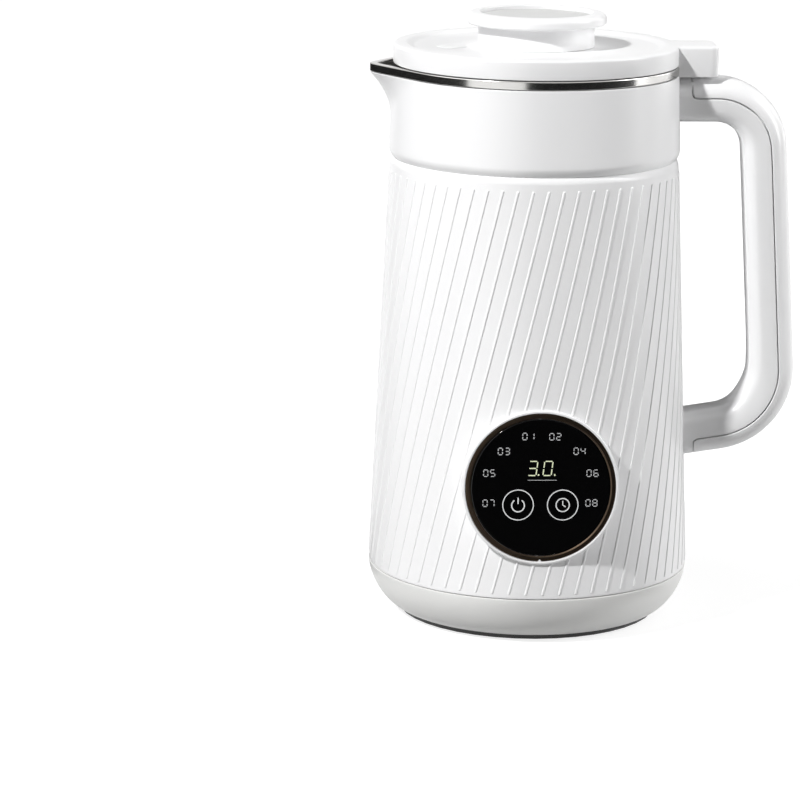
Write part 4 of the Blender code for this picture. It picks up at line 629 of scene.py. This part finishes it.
handleShape = {
    "topZ": 200.7, "topX": 87.3, "lowX": 95.4, "lowZ": 74.7, "fall": 8.5, "topBend": 19.5, "lowBend": 23.5,
    "startX": 50.0, "topSink": 0.8, "lowSink": 0.6,     # where the arms start inside the body
    "depth": 17.2, "width": 21.0, "crown": 2.0, "innerRound": 4.2, "outerRound": 6.0, "edgeRound": 0.3,
    "coverShare": 0.41, "coverTopX": 59.1, "coverLowX": 62.7, "seam": 0.5, "seamRound": 2.0,
    "rowsBeside": (0.6, 0.05),  # how far the rows before the cover's ends are from them
    "armSeamDown": 0.85, "easeFrom": 12.0, "easeLong": 36.0,    # the seam along the upper arm
    "bendSwell": 1.4, "swellBack": 47.0, "swellLong": 13.0,     # the inner face at the lower bend
    "tongueIn": 1.6, "tongueDeep": 0.3, "tongueShy": 0.08, "tongueRound": 0.1,
}


def handlePath(s=handleShape):
    # straight arm, arc, straight grip, arc, straight arm; each station has its point, its
    # outward normal and its direction, all in the XZ plane
    fall = math.tan(math.radians(s["fall"]))
    corners = np.array([(s["startX"], s["topZ"]), (s["topX"], s["topZ"]), (s["lowX"], s["lowZ"]),
                        (s["startX"], s["lowZ"] - (s["lowX"] - s["startX"]) * fall)])
    points, ways = [], []
    for before, here, after, radius in ((*corners[:3], s["topBend"]), (*corners[1:], s["lowBend"])):
        into = (here - before) / np.linalg.norm(here - before)
        out = (after - here) / np.linalg.norm(after - here)
        turn = math.acos(float(into @ out))
        first = here - into * radius * math.tan(turn / 2)
        normal = np.array([-into[1], into[0]])
        centre = first - normal * radius
        angle = -turn * np.linspace(0, 1, 33)
        spun = np.column_stack([normal[0] * np.cos(angle) - normal[1] * np.sin(angle),
                                normal[0] * np.sin(angle) + normal[1] * np.cos(angle)])
        points.append(centre + spun * radius)
        ways.append(np.column_stack([spun[:, 1], -spun[:, 0]]))
    endWay = (corners[3] - corners[2]) / np.linalg.norm(corners[3] - corners[2])
    gripPoints = points[0][-1] + (points[1][0] - points[0][-1]) * np.linspace(0, 1, 12)[1:-1, None]
    allPoints = np.vstack([corners[0], points[0], gripPoints, points[1], corners[3]])
    allWays = np.vstack([[1.0, 0.0], ways[0], np.repeat(ways[0][-1:], len(gripPoints), 0), ways[1], endWay])
    return allPoints, allWays


def atStations(s, lengths):
    # the path's points, normals and directions at given lengths along it
    points, ways = handlePath(s)
    along = np.concatenate([[0], np.cumsum(np.linalg.norm(np.diff(points, axis=0), axis=1))])
    place = np.column_stack([np.interp(lengths, along, points[:, i]) for i in range(2)])
    way = np.column_stack([np.interp(lengths, along, ways[:, i]) for i in range(2)])
    way /= np.linalg.norm(way, axis=1)[:, None]
    return place, np.column_stack([-way[:, 1], way[:, 0]]), way, along


def handleRows(s, lengths, low, high, roundLow, roundHigh):
    # at each station a rounded rectangle between two offsets; its sides swell, so the half
    # width shrinks by crown * (offset / half depth)^2 away from the middle
    place, normal, way, _ = atStations(s, lengths)
    turn = quarterAngles(8)
    low, high, roundLow, roundHigh = (value[:, None] for value in (low, high, roundLow, roundHigh))
    upper = (high - roundHigh * (1 - np.sin(turn)), s["width"] / 2 - roundHigh * (1 - np.cos(turn)))
    lower = (low + roundLow * (1 - np.sin(turn)), s["width"] / 2 - roundLow * (1 - np.cos(turn)))
    share = np.linspace(0, 1, 10)[None, 1:-1]
    side = (high - roundHigh + (low + roundLow - high + roundHigh) * share, s["width"] / 2 + 0 * low * share)
    out, wide = (np.concatenate([upper[i], upper[i][:, ::-1], side[i], lower[i], lower[i][:, ::-1],
                                 side[i][:, ::-1]], axis=1) for i in range(2))
    counts = [upper[0].shape[1], upper[0].shape[1] + side[0].shape[1] + lower[0].shape[1],
              lower[0].shape[1] + side[0].shape[1]]
    sign = np.repeat([1.0, -1.0, 1.0], counts)
    y = sign * (wide - s["crown"] * (out / (s["depth"] / 2)) ** 2)
    return np.stack([place[:, 0:1] + normal[:, 0:1] * out, y, place[:, 1:2] + normal[:, 1:2] * out], -1), way


def meetWall(row, way, radiusAt):
    # slides one row along the handle's direction until it meets a round wall
    wallX = np.sqrt(np.maximum(radiusAt(row[:, 2]) ** 2 - row[:, 1] ** 2, 0))
    slide = (wallX - row[:, 0]) / way[0]
    moved = row.copy()
    moved[:, 0] += slide * way[0]
    moved[:, 2] += slide * way[1]
    return moved


def makeHandle(s=handleShape):
    _, _, _, along = atStations(s, np.array([0.0]))
    total = along[-1]
    half, gap = s["depth"] / 2, s["seam"]
    evenSplit = half - s["depth"] * s["coverShare"]
    lowWay = math.cos(math.radians(s["fall"]))
    topAt = s["coverTopX"] - s["startX"]
    lowAt = total - (s["coverLowX"] - s["startX"]) / lowWay
    # how far the inner half stands up at each station: whole at the arms' roots, then a
    # small quarter round down to the seam
    bend = s["seamRound"]
    turn = quarterAngles(9)
    stepIn = bend * (1 - np.cos(turn))
    stepUp = bend * (1 - np.sin(turn))
    middle = np.linspace(topAt + bend, lowAt - bend, 150)[1:-1]
    beside = np.array(s["rowsBeside"])
    lengths = np.concatenate([[0.0], topAt - beside, topAt + stepIn, middle, (lowAt - stepIn)[::-1],
                              lowAt + beside[::-1], [total]])

    # the seam runs nearer the opening along the upper arm and eases out round the upper bend
    def seamAt(at):
        share = np.clip((at - topAt - s["easeFrom"]) / s["easeLong"], 0, 1)
        return evenSplit - s["armSeamDown"] * (1 - smoothShare(share))

    steps = np.concatenate([stepUp, 0 * middle, stepUp[::-1]])
    seam = seamAt(lengths[3:-3]) + steps
    high = np.concatenate([[half, half, half], seam, [half, half, half]])
    roundHigh = np.where(high >= half, s["outerRound"], s["edgeRound"])
    # the inner face swells a little into the opening at the lower bend
    swell = np.exp(-((lengths - (total - s["swellBack"])) / s["swellLong"]) ** 2)
    low = -half - s["bendSwell"] * swell
    roundLow = np.full(len(lengths), s["innerRound"])
    rows, way = handleRows(s, lengths, low, high, roundLow, roundHigh)
    rows[0] = meetWall(rows[0], way[0], lambda z: spoutShape["rimR"] - s["topSink"] + 0 * z)
    rows[-1] = meetWall(rows[-1], way[-1], lambda z: bodyRadius(z) - s["lowSink"])

    # the cover follows the inner half's upper edge one seam's width away, and a tongue on the
    # inner half closes the seam a little way in
    coverLengths = np.concatenate([topAt + gap + stepIn, middle, (lowAt - gap - stepIn)[::-1]])
    coverLow = seamAt(coverLengths) + steps + gap
    narrow = dict(s, width=s["width"] - 2 * s["tongueIn"], crown=0.0)
    deep, shy, endTop = s["tongueDeep"], s["tongueShy"], half - s["tongueIn"]
    parts = [cappedPart(rows)]
    for at, under, over in (
            (coverLengths, coverLow - gap - deep, coverLow - shy),
            (np.array([topAt - deep, topAt + gap - shy]), np.zeros(2), np.full(2, endTop)),
            (np.array([lowAt - gap + shy, lowAt + deep]), np.zeros(2), np.full(2, endTop))):
        corner = np.full(len(at), s["tongueRound"])
        parts.append(cappedPart(handleRows(narrow, at, under, over, corner, corner)[0]))
    makePiece("handle_inside", parts, "housing", ["handle_inner"], "white_abs")
    whole = np.ones(len(coverLengths))
    cover, _ = handleRows(s, coverLengths, coverLow, half * whole, s["edgeRound"] * whole,
                          s["outerRound"] * whole)
    makePiece("handle_outside", [cappedPart(cover)], "housing", ["handle_cover"], "white_abs")


makeHandle()
print("handle made")


# Touch panel

panelShape = {
    "z": 61.8, "proud": 1.1, "bezelR": 29.5, "bezelWall": 1.1, "depth": 15.1, "floor": 1.6,
    "frontIn": 0.25, "frontOut": 0.55, "backEdge": 0.3,     # the housing's rounded edges
    "ringGap": 0.2, "ringWidth": 1.9, "ringSunk": 0.35, "ringBack": 2.6,
    "ringSlope": (0.5, 0.25), "ringEdges": (0.2, 0.3),
    "lensGap": 0.15, "lensSunk": 0.6, "lensBack": 2.1, "lensEdge": 0.3,
    "notchHalf": 0.9, "notchHigh": 1.0, "notchTip": 0.12, "notchIn": 0.1, "notchSunk": 0.15,
    "notchThick": 1.0,
}
panelTaper = math.atan((bodyShape["bottomR"] - bodyShape["topR"])
                       / (bodyShape["topZ"] - bodyShape["grooveHigh"] - bodyShape["seamZ"]))
panelPlace = (Matrix.Translation((0.0, -bodyRadius(panelShape["z"]) - panelShape["proud"], panelShape["z"]))
              @ Matrix.Rotation(math.pi / 2 - panelTaper, 4, 'X'))


def makePanel(s=panelShape):
    # three turned pieces in the panel's own frame, where Z points out of its face
    inside, floor = s["bezelR"] - s["bezelWall"], s["floor"] - s["depth"]
    bezel = [(inside, 0.0, s["frontIn"]), (s["bezelR"], 0.0, s["frontOut"]),
             (s["bezelR"], -s["depth"], s["backEdge"]), (0.0, -s["depth"]), (0.0, floor), (inside, floor)]
    ringOut = inside - s["ringGap"]
    ringIn = ringOut - s["ringWidth"]
    (slopeIn, slopeDown), (edgeIn, edgeOut), face = s["ringSlope"], s["ringEdges"], -s["ringSunk"]
    ring = [(ringIn, face - slopeDown, edgeIn), (ringIn + slopeIn, face, edgeOut),
            (ringOut, face, edgeOut), (ringOut, -s["ringBack"]), (ringIn, -s["ringBack"])]
    lensR = ringIn - s["lensGap"]
    lens = [(0.0, -s["lensSunk"]), (lensR, -s["lensSunk"], s["lensEdge"]), (lensR, -s["lensBack"]),
            (0.0, -s["lensBack"])]
    for name, outline, node, slotName in (("panel_housing", bezel, "panel_bezel", "white_abs"),
                                          ("panel_trim_ring", ring, "panel_ring", "bronze_trim"),
                                          ("panel_face", lens, "panel_lens", "black_lens")):
        makePiece(name, [placed(turnedPart(outline), panelPlace)], "housing", [node], slotName)
    # a small white pointer that grows from the housing over the trim ring at the bottom
    wide = s["notchHalf"] * np.array([[-1.0, 1.0], [-s["notchTip"], s["notchTip"]]])
    up = -inside - s["notchIn"] + np.array([[0.0, 0.0], [s["notchHigh"], s["notchHigh"]]])
    front = np.stack([wide, up, 0 * wide - s["notchSunk"]], -1)
    back = front - [0.0, 0.0, s["notchThick"]]
    loop = np.stack([front[0], front[1], back[1], back[0]], 1)
    makePiece("ring_pointer", [placed(cappedPart(loop), panelPlace)], "housing", [], "white_abs")


makePanel()
print("panel made")


# Marks printed on the panel and the lit figures behind it

markShape = {
    "lift": 0.03, "thick": 0.015,
    "numbers": [(-4.9, 19.6), (5.2, 19.5), (-14.0, 13.9), (14.4, 14.0), (-19.4, 5.6), (19.4, 5.6),
                (-19.5, -5.9), (19.2, -5.8)],
    "numberFigures": {"high": 2.5, "width": 1.6, "step": 2.6, "line": 0.34, "slant": 0.0},
    "underline": [(-4.9, 2.9), (0.5, 2.9), (6.0, 2.9)], "underlineWide": 0.2,
    "keyX": 8.4, "keyY": -6.6, "keyR": 5.75, "keyLine": 0.36,
    "powerR": 2.4, "powerDown": 0.2, "powerSpan": (125, 415), "powerLine": 0.45,
    "powerBar": [(0.0, 0.4), (0.0, 1.6), (0.0, 2.8)],
    "clockR": 2.5, "clockLine": 0.42, "handLine": 0.38,
    "clockHands": [(0.0, 1.6), (0.0, 0.0), (1.1, -0.7)],
    "litText": "30", "litAt": (-0.2, 7.4),
    "litFigures": {"high": 5.4, "width": 3.1, "step": 5.7, "line": 0.42, "slant": 0.12},
    "litDots": [(-0.9, 4.9), (5.2, 4.9)], "dotR": 0.18, "dotLine": 0.34,
}


def flatBand(path, width, closed):
    # a flat strip along a path: each side lies half the width from it
    nextOnes = np.roll(path, -1, 0) if closed else np.vstack([path[1:], 2 * path[-1] - path[-2]])
    before = np.roll(path, 1, 0) if closed else np.vstack([2 * path[0] - path[1], path[:-1]])
    way = nextOnes - before
    way /= np.linalg.norm(way, axis=1)[:, None]
    side = np.column_stack([-way[:, 1], way[:, 0]]) * width / 2
    return np.stack([path - side, path + side], 0), closed


def arcPath(x, y, radius, start, stop, count):
    # points on a circle between two angles in degrees
    angle = np.radians(np.linspace(start, stop, count, endpoint=abs(stop - start) < 360))
    return np.column_stack([x + radius * np.cos(angle), y + radius * np.sin(angle)])


def onPanel(strip, lift):
    # a flat strip of panel coordinates lifted just off the face and given a hair's thickness
    grid, closed = strip
    flat = np.concatenate([grid, 0 * grid[..., :1] - panelShape["lensSunk"] + lift], -1)
    under = flat - [0.0, 0.0, markShape["thick"]]
    loop = np.stack([flat[0], flat[1], under[1], under[0]], 1)
    return placed((loop, True, True) if closed else cappedPart(loop), panelPlace)


# seven-segment figures: which of the segments top, upper right, lower right, bottom, lower
# left, upper left and middle are lit
segmentSets = {"0": "abcdef", "1": "bc", "2": "abged", "3": "abgcd", "4": "fgbc", "5": "afgcd",
               "6": "afgedc", "7": "abc", "8": "abcdefg", "9": "abcdfg"}


def figureStrips(text, x, y, high, width, step, line, slant, trimShare=0.62):
    # segments as short strips between the corners of two stacked squares, cut short at each
    # end by a share of the line's width and leaning by the slant times the height
    ends = {"a": (0, 2, 1, 2), "b": (1, 2, 1, 1), "c": (1, 1, 1, 0), "d": (0, 0, 1, 0),
            "e": (0, 1, 0, 0), "f": (0, 2, 0, 1), "g": (0, 1, 1, 1)}
    strips = []
    for i, letter in enumerate(text):
        left = x + (i - (len(text) - 1) / 2) * step - width / 2
        for key in segmentSets[letter]:
            x0, y0, x1, y1 = ends[key]
            a = np.array([left + x0 * width, y + (y0 - 1) * high / 2])
            b = np.array([left + x1 * width, y + (y1 - 1) * high / 2])
            trim = (b - a) / np.linalg.norm(b - a) * line * trimShare
            path = np.vstack([a + trim, (a + b) / 2, b - trim])
            path[:, 0] += (path[:, 1] - y) * slant
            strips.append(flatBand(path, line, False))
    return strips


def makeMarks(s=markShape):
    # printed: eight numbers round the face and an underline; two key rings, the left with a
    # broken ring and a bar, the right with a small clock; lit: two figures, each with a dot
    printed = [flatBand(np.array(s["underline"]), s["underlineWide"], False)]
    for i, (x, y) in enumerate(s["numbers"]):
        printed += figureStrips("%02d" % (i + 1), x, y, **s["numberFigures"])
    x, y = s["keyX"], s["keyY"]
    keys = [flatBand(arcPath(side * x, y, s["keyR"], 0, 360, 96), s["keyLine"], True) for side in (-1, 1)]
    broken = arcPath(-x, y - s["powerDown"], s["powerR"], *s["powerSpan"], 40)
    keys += [flatBand(broken, s["powerLine"], False),
             flatBand(np.array(s["powerBar"]) + [-x, y], s["powerLine"], False),
             flatBand(arcPath(x, y, s["clockR"], 0, 360, 48), s["clockLine"], True),
             flatBand(np.array(s["clockHands"]) + [x, y], s["handLine"], False)]
    lit = figureStrips(s["litText"], *s["litAt"], **s["litFigures"])
    lit += [flatBand(arcPath(*dot, s["dotR"], 0, 360, 12), s["dotLine"], True) for dot in s["litDots"]]
    for name, strips, ink in (("printed_numbers", printed, "print"), ("key_rings", keys, "keys"),
                              ("lit_figures", lit, "lit")):
        makePiece(name, [onPanel(strip, s["lift"]) for strip in strips], "housing", [], None, paint[ink])


inkLook = {"grainSize": 1.5, "roughness": (0.3, 0.45)}


def makePaint(name, colour, tint, glow, s=inkLook):
    # screen-printed ink or a lit window: slightly uneven in strength, as thin ink is; a glow makes it shine,
    # which is the window's own light but a painted glow on ink
    made, tree, shader = newMaterial(name)
    place = addNode(tree, "TexCoord").outputs["Object"]
    noise = addNode(tree, "TexNoise", {"Scale": 1000 / s["grainSize"], "Detail": 3.0}, {"Vector": place})
    mix = addNode(tree, "MixRGB", {"Color1": linear(colour), "Color2": linear(tint)},
                  {"Fac": noise.outputs["Fac"]})
    tree.links.new(mix.outputs["Color"], shader.inputs["Base Color"])
    low, high = s["roughness"]
    spread = addNode(tree, "MapRange", {"To Min": low, "To Max": high}, {"Value": noise.outputs["Fac"]})
    tree.links.new(spread.outputs["Result"], shader.inputs["Roughness"])
    # emission: real light for the lit figures, a painted glow for the printed inks
    if glow:
        tree.links.new(mix.outputs["Color"], shader.inputs["Emission Color"])
        shader.inputs["Emission Strength"].default_value = glow
    return made


# the grey and white prints get a faint painted glow that brightens them on the black face; only the lit
# figures shine by themselves
paint = {
    "print": makePaint("printedGreyWithPaintedGlow", "c3c4c4", "adaeb0", 0.12),
    "keys": makePaint("printedWhiteWithPaintedGlow", "dcdddd", "cbcccd", 0.25),
    "lit": makePaint("litFigureWindow", "dfe3c6", "ced6b0", 0.26),
}
makeMarks()
print("panel marks made")


# Mains inlet at the back

inletShape = {
    "z": 36.0, "y": 62.4, "halfW": 13.5, "halfH": 9.75, "wall": 2.0, "depth": 18.0, "corner": 3.0,
    "flange": 2.0, "flangeT": 1.6, "flangeBack": 0.1, "clear": 0.25, "cutFrom": -8.0, "cutTo": 4.0,
    # the flange's rounded rim: how far each row draws in, what its corner loses, and its depth
    "rim": [(0.0, 0.0, 1.0), (0.2, 0.0, 1.4), (0.6, 0.5, 1.6)],
    "mouth": 0.4, "mouthCorner": 1.9, "innerCorner": 1.5,
}


def insetLoft(rows, count=15):
    # rounded rectangles (half width, half height, corner, depth) joined one after another
    quarter = quarterAngles(count)
    grid = []
    for halfW, halfH, corner, depth in rows:
        ring = []
        for quarterTurn, (signX, signY) in enumerate(((1, 1), (-1, 1), (-1, -1), (1, -1))):
            angle = quarter + quarterTurn * math.pi / 2
            ring.append(np.column_stack([signX * (halfW - corner) + corner * np.cos(angle),
                                         signY * (halfH - corner) + corner * np.sin(angle)]))
        ring = np.vstack(ring)
        grid.append(np.column_stack([ring, np.full(len(ring), depth)]))
    return cappedPart(np.array(grid))


def makeInlet(s=inletShape):
    # from the back of the socket out to its flange, round the rim and back in to its floor
    w, h, c, f = s["halfW"], s["halfH"], s["corner"], s["flange"]
    inW, inH, mouth, gap = w - s["wall"], h - s["wall"], s["mouth"], s["clear"]
    rows = [(w, h, c, -s["depth"]), (w, h, c, s["flangeBack"]), (w + f, h + f, c + f, s["flangeBack"])]
    rows += [(w + f - draw, h + f - draw, c + f - less, depth) for draw, less, depth in s["rim"]]
    rows += [(inW + mouth, inH + mouth, s["mouthCorner"], s["flangeT"]),
             (inW, inH, s["innerCorner"], s["flangeT"] - mouth),
             (inW, inH, s["innerCorner"], s["wall"] - s["depth"])]
    place = Matrix.Translation((0.0, s["y"], s["z"])) @ Matrix.Rotation(-math.pi / 2, 4, 'X')
    makePiece("mains_socket", [placed(insetLoft(rows), place)], "housing", ["power_inlet"], "black_nylon")
    # the body's wall is open where the socket goes through it
    through = [(w + gap, h + gap, c + gap, depth) for depth in (s["cutFrom"], s["cutTo"])]
    cutOut(ribbedBody, [placed(insetLoft(through), place)])


makeInlet()
print("inlet made")


# Blade in the liner

bladeShape = {
    "hubR": 5.0, "hubLow": 106.0, "hubTop": 111.0, "bore": 2.8, "boreEdge": 0.2, "hubEdge": 0.4,
    "root": 3.7, "reach": 24.0, "width": 9.0, "thick": 1.2, "lift": 6.0, "count": 4, "knee": 0.42,
    "rise": (1.6, 0.6), "narrow": 0.72, "narrowPower": 1.4,
    # across an arm: where its three rows lie in half widths, and how thick it is at each
    "edges": (1.0, 0.55, -0.9), "edgeBack": 0.1, "thickShares": (0.08, 0.5, 0.5),
}
nutShape = {
    "flatR": 3.64,
    # rows (radius, height, how much of a hexagon) from the seat up over the dome and back inside
    "rows": [(2.8, 111.3, 0.0), (4.2, 111.3, 1.0), (4.2, 114.0, 1.0), (3.9, 114.2, 0.5), (3.6, 114.6, 0.0),
             (3.3, 115.5, 0.0), (2.6, 116.2, 0.0), (1.6, 116.65, 0.0), (0.0, 116.8, 0.0), (0.0, 113.9, 0.0),
             (2.8, 113.9, 0.0)],
}


def makeBlade(s=bladeShape):
    # each arm runs out flat to its knee, then rises or falls by lift * k^2 * (1.6 - 0.6 k), where
    # k is the share of the way from the knee, and narrows; one long edge is ground thin
    hub = turnedPart([(s["bore"], s["hubLow"], s["boreEdge"]), (s["hubR"], s["hubLow"], s["hubEdge"]),
                      (s["hubR"], s["hubTop"], s["hubEdge"]), (s["bore"], s["hubTop"], s["boreEdge"])], 96)
    # every other arm rises by the whole lift, and the arms between them fall by half of it
    parts = [hub]
    along = np.linspace(0, 1, 40)
    knee = np.clip((along - s["knee"]) / (1 - s["knee"]), 0, 1)
    rise = knee * knee * (s["rise"][0] - s["rise"][1] * knee)
    half = s["width"] / 2 * (1 - s["narrow"] * knee ** s["narrowPower"])
    edge = half[:, None] * np.array(s["edges"]) - [s["edgeBack"], 0.0, 0.0]
    x = np.broadcast_to((s["root"] + (s["reach"] - s["root"]) * along)[:, None], edge.shape)
    thick = np.array(s["thickShares"]) * s["thick"]
    for i in range(s["count"]):
        lift = s["lift"] if i % 2 else -s["lift"] / 2
        z = ((s["hubLow"] + s["hubTop"]) / 2 + lift * rise)[:, None]
        top, low = np.stack([x, edge, z + thick], -1), np.stack([x, edge, z - thick], -1)
        arm = cappedPart(np.concatenate([top, low[:, ::-1]], 1))
        parts.append(placed(arm, Matrix.Rotation(math.tau * i / s["count"], 4, 'Z')))
    makePiece("cutting_blade", parts, "rotor", ["blade"], "turned_steel", sharpAngle=30.0)


def makeNut(s=nutShape):
    # an acorn nut: six flats below, where radius = flat / cos(angle from the flat's middle), and
    # a dome above
    turn = np.linspace(0, math.tau, 96, endpoint=False)
    flats = s["flatR"] / np.cos((turn + math.pi / 6) % (math.pi / 3) - math.pi / 6)
    radius, z, share = np.array(s["rows"]).T[:, :, None]
    rows = onRing(np.minimum(radius * (1 - share) + flats * share, radius), turn, z)
    makePiece("acorn_nut", [(rows, True, True)], "rotor", ["blade_nut"], "turned_steel", sharpAngle=30.0)


makeBlade()
makeNut()
print("blade and nut made")


# The solids that stay get their slot's finish

for row in frame["record"]["subparts"]:
    node = frame["nodes"][row["node"]]
    node.data.materials.clear()
    node.data.materials.append(finish[row["material_slot"]])
print("finishes given to the solids")


# Floor, lights and camera

stageShape = {
    "floorZ": -1.2, "side": 6000, "front": -4000, "back": 5000, "sweep": 1500, "wallTop": 5000,
    "paper": "a4a4a4", "nearGlow": 0.80, "farGlow": 0.96, "near": 60, "far": 240,
    "roomLight": 0.0, "roomSeen": 1.0,
}
white = linear("ffffff")


def seenDirectly(tree):
    # one where a ray comes from the camera, a reflection or a pane, and zero for the light itself
    rays = addNode(tree, "LightPath").outputs
    first = addNode(tree, "Math", links={0: rays["Is Camera Ray"], 1: rays["Is Glossy Ray"]},
                    operation="MAXIMUM")
    return addNode(tree, "Math", links={0: first.outputs[0], 1: rays["Is Transmission Ray"]},
                   operation="MAXIMUM").outputs[0]


def stageSheet(name, grid, material):
    # an open grid of points in millimetres that isn't part of the object
    mesh = bpy.data.meshes.new(name)
    faces = gridFaces(grid.shape[0], grid.shape[1], False, False)
    mesh.from_pydata((grid.reshape(-1, 3) / 1000).tolist(), [], faces.tolist())
    mesh.shade_smooth()
    mesh.materials.append(material)
    sheet = newObject(name, mesh)
    return sheet


def makeFloor(s=stageShape):
    # a seamless sweep: a flat floor that curves up through a quarter circle far behind the object
    turn = quarterAngles(24)[1:]
    depth = np.concatenate([[s["front"], s["back"]], s["back"] + s["sweep"] * np.sin(turn),
                            [s["back"] + s["sweep"]]])
    rise = np.concatenate([[0, 0], s["sweep"] * (1 - np.cos(turn)), [s["wallTop"]]]) + s["floorZ"]
    side = np.linspace(-s["side"], s["side"], 3)
    grid = np.stack(np.broadcast_arrays(side[None, :], depth[:, None], rise[:, None]), -1)
    made, tree, _ = newMaterial("paperSweep")
    tree.nodes.clear()
    # grey paper, lit to white where it is looked at: it keeps the object's shadow and throws
    # little light back up; the glow makes up for the lamps' light as that fades with distance
    paper = addNode(tree, "BsdfDiffuse", {"Color": linear(s["paper"])})
    place = addNode(tree, "TexCoord").outputs["Object"]
    away = addNode(tree, "VectorMath", links={0: place}, operation="LENGTH").outputs["Value"]
    amount = addNode(tree, "MapRange", {"From Min": s["near"] / 1000, "From Max": s["far"] / 1000,
                                        "To Min": s["nearGlow"], "To Max": s["farGlow"]},
                     {"Value": away}, interpolation_type="SMOOTHSTEP")
    part = addNode(tree, "Math", links={0: seenDirectly(tree), 1: amount.outputs["Result"]},
                   operation="MULTIPLY")
    glow = addNode(tree, "Emission", {"Color": white}, {"Strength": part.outputs[0]})
    both = addNode(tree, "AddShader", links={0: paper.outputs[0], 1: glow.outputs[0]})
    addNode(tree, "OutputMaterial", links={"Surface": both.outputs[0]})
    stageSheet("studio_floor", grid, made)


# black cards round the object, which only its reflections show: the dark stretches in the
# steel band and the black of the panel. Angles in degrees from the front, left is negative.
flagShape = {"colour": "050505", "roughness": 0.9, "inner": 80.0, "radius": 260.0, "high": 235.0,
             "spans": [(-11, 74), (134, 178), (222, 306)]}


def makeFlags(s=flagShape):
    # sheets that lie on the floor and then stand up on a circle: the angle runs along a span
    card, _, shader = newMaterial("blackCard")
    shader.inputs["Base Color"].default_value = linear(s["colour"])
    shader.inputs["Roughness"].default_value = s["roughness"]
    radius = np.array([s["inner"], s["radius"], s["radius"]])[:, None]
    height = np.array([0.0, 0.0, s["high"]])[:, None]
    for number, (first, last) in enumerate(s["spans"]):
        angle = np.radians(np.linspace(first, last, 24) - 90)
        sheet = stageSheet("black_card_%d" % (number + 1), onRing(radius, angle, height), card)
        for ray in ("camera", "diffuse", "shadow", "transmission"):
            setattr(sheet, "visible_" + ray, False)


def looking(yaw, down, roll=0.0):
    # the turn of a camera or lamp that looks along +Y once yaw, its fall and its roll, all in
    # degrees, are zero
    steps = ((yaw, 'Z'), (90 - down, 'X'), (roll, 'Z'))
    first, second, third = (Matrix.Rotation(math.radians(angle), 4, axis) for angle, axis in steps)
    return first @ second @ third


# each lamp: its angle from the front (left is negative), its height in degrees and its
# distance in metres, its two sides in metres and its power in watts
lamps = {
    "keyLamp": {"angle": -47.5, "height": 42, "away": 2.4, "size": (0.12, 0.12), "power": 56.0},
    "leftSoftbox": {"angle": -75, "height": 28, "away": 2.0, "size": (1.6, 1.6), "power": 12.0},
    "rightSoftbox": {"angle": 82, "height": 20, "away": 2.0, "size": (0.8, 1.6), "power": 27.0},
    "backSoftbox": {"angle": 122, "height": 20, "away": 2.0, "size": (0.8, 1.6), "power": 9.0},
}


def makeLamps(aimZ=0.12):
    # every lamp looks at one point on the object's axis, whose height is in metres
    for name, s in lamps.items():
        data = bpy.data.lights.new(name, 'AREA')
        data.shape = 'RECTANGLE'
        data.size, data.size_y = s["size"]
        data.energy = s["power"]
        back = Matrix.Translation((0.0, 0.0, s["away"]))
        aim = Matrix.Translation((0.0, 0.0, aimZ))
        newObject(name, data).matrix_world = aim @ looking(s["angle"], s["height"]) @ back


def makeWorld(s=stageShape):
    # a room that gives no light of its own and is plain white where it is looked at
    world = bpy.data.worlds.new("studioRoom")
    bpy.context.scene.world = world
    world.use_nodes = True
    tree = world.node_tree
    tree.nodes.clear()
    strength = addNode(tree, "MapRange", {"To Min": s["roomLight"], "To Max": s["roomSeen"]},
                       {"Value": seenDirectly(tree)})
    room = addNode(tree, "Background", {"Color": white}, {"Strength": strength.outputs["Result"]})
    addNode(tree, "OutputWorld", links={"Surface": room.outputs[0]})


cameraShape = {"at": (-0.1030, -1.3088, 0.3821), "yaw": -2.29004, "pitch": 12.92527, "roll": 0.57357,
               "lens": 154.95, "sensor": 36.0, "clip": (0.01, 50.0)}


def makeCamera(s=cameraShape):
    # its place and its clip distances are in metres, its lens and sensor in millimetres
    data = bpy.data.cameras.new("photoCamera")
    data.sensor_width, data.lens = s["sensor"], s["lens"]
    data.clip_start, data.clip_end = s["clip"]
    camera = newObject("photoCamera", data)
    camera.matrix_world = Matrix.Translation(s["at"]) @ looking(s["yaw"], s["pitch"], s["roll"])
    bpy.context.scene.camera = camera


makeFloor()
makeFlags()
makeLamps()
makeWorld()
makeCamera()
bpy.context.scene.view_settings.view_transform = 'Standard'
print("stage made")
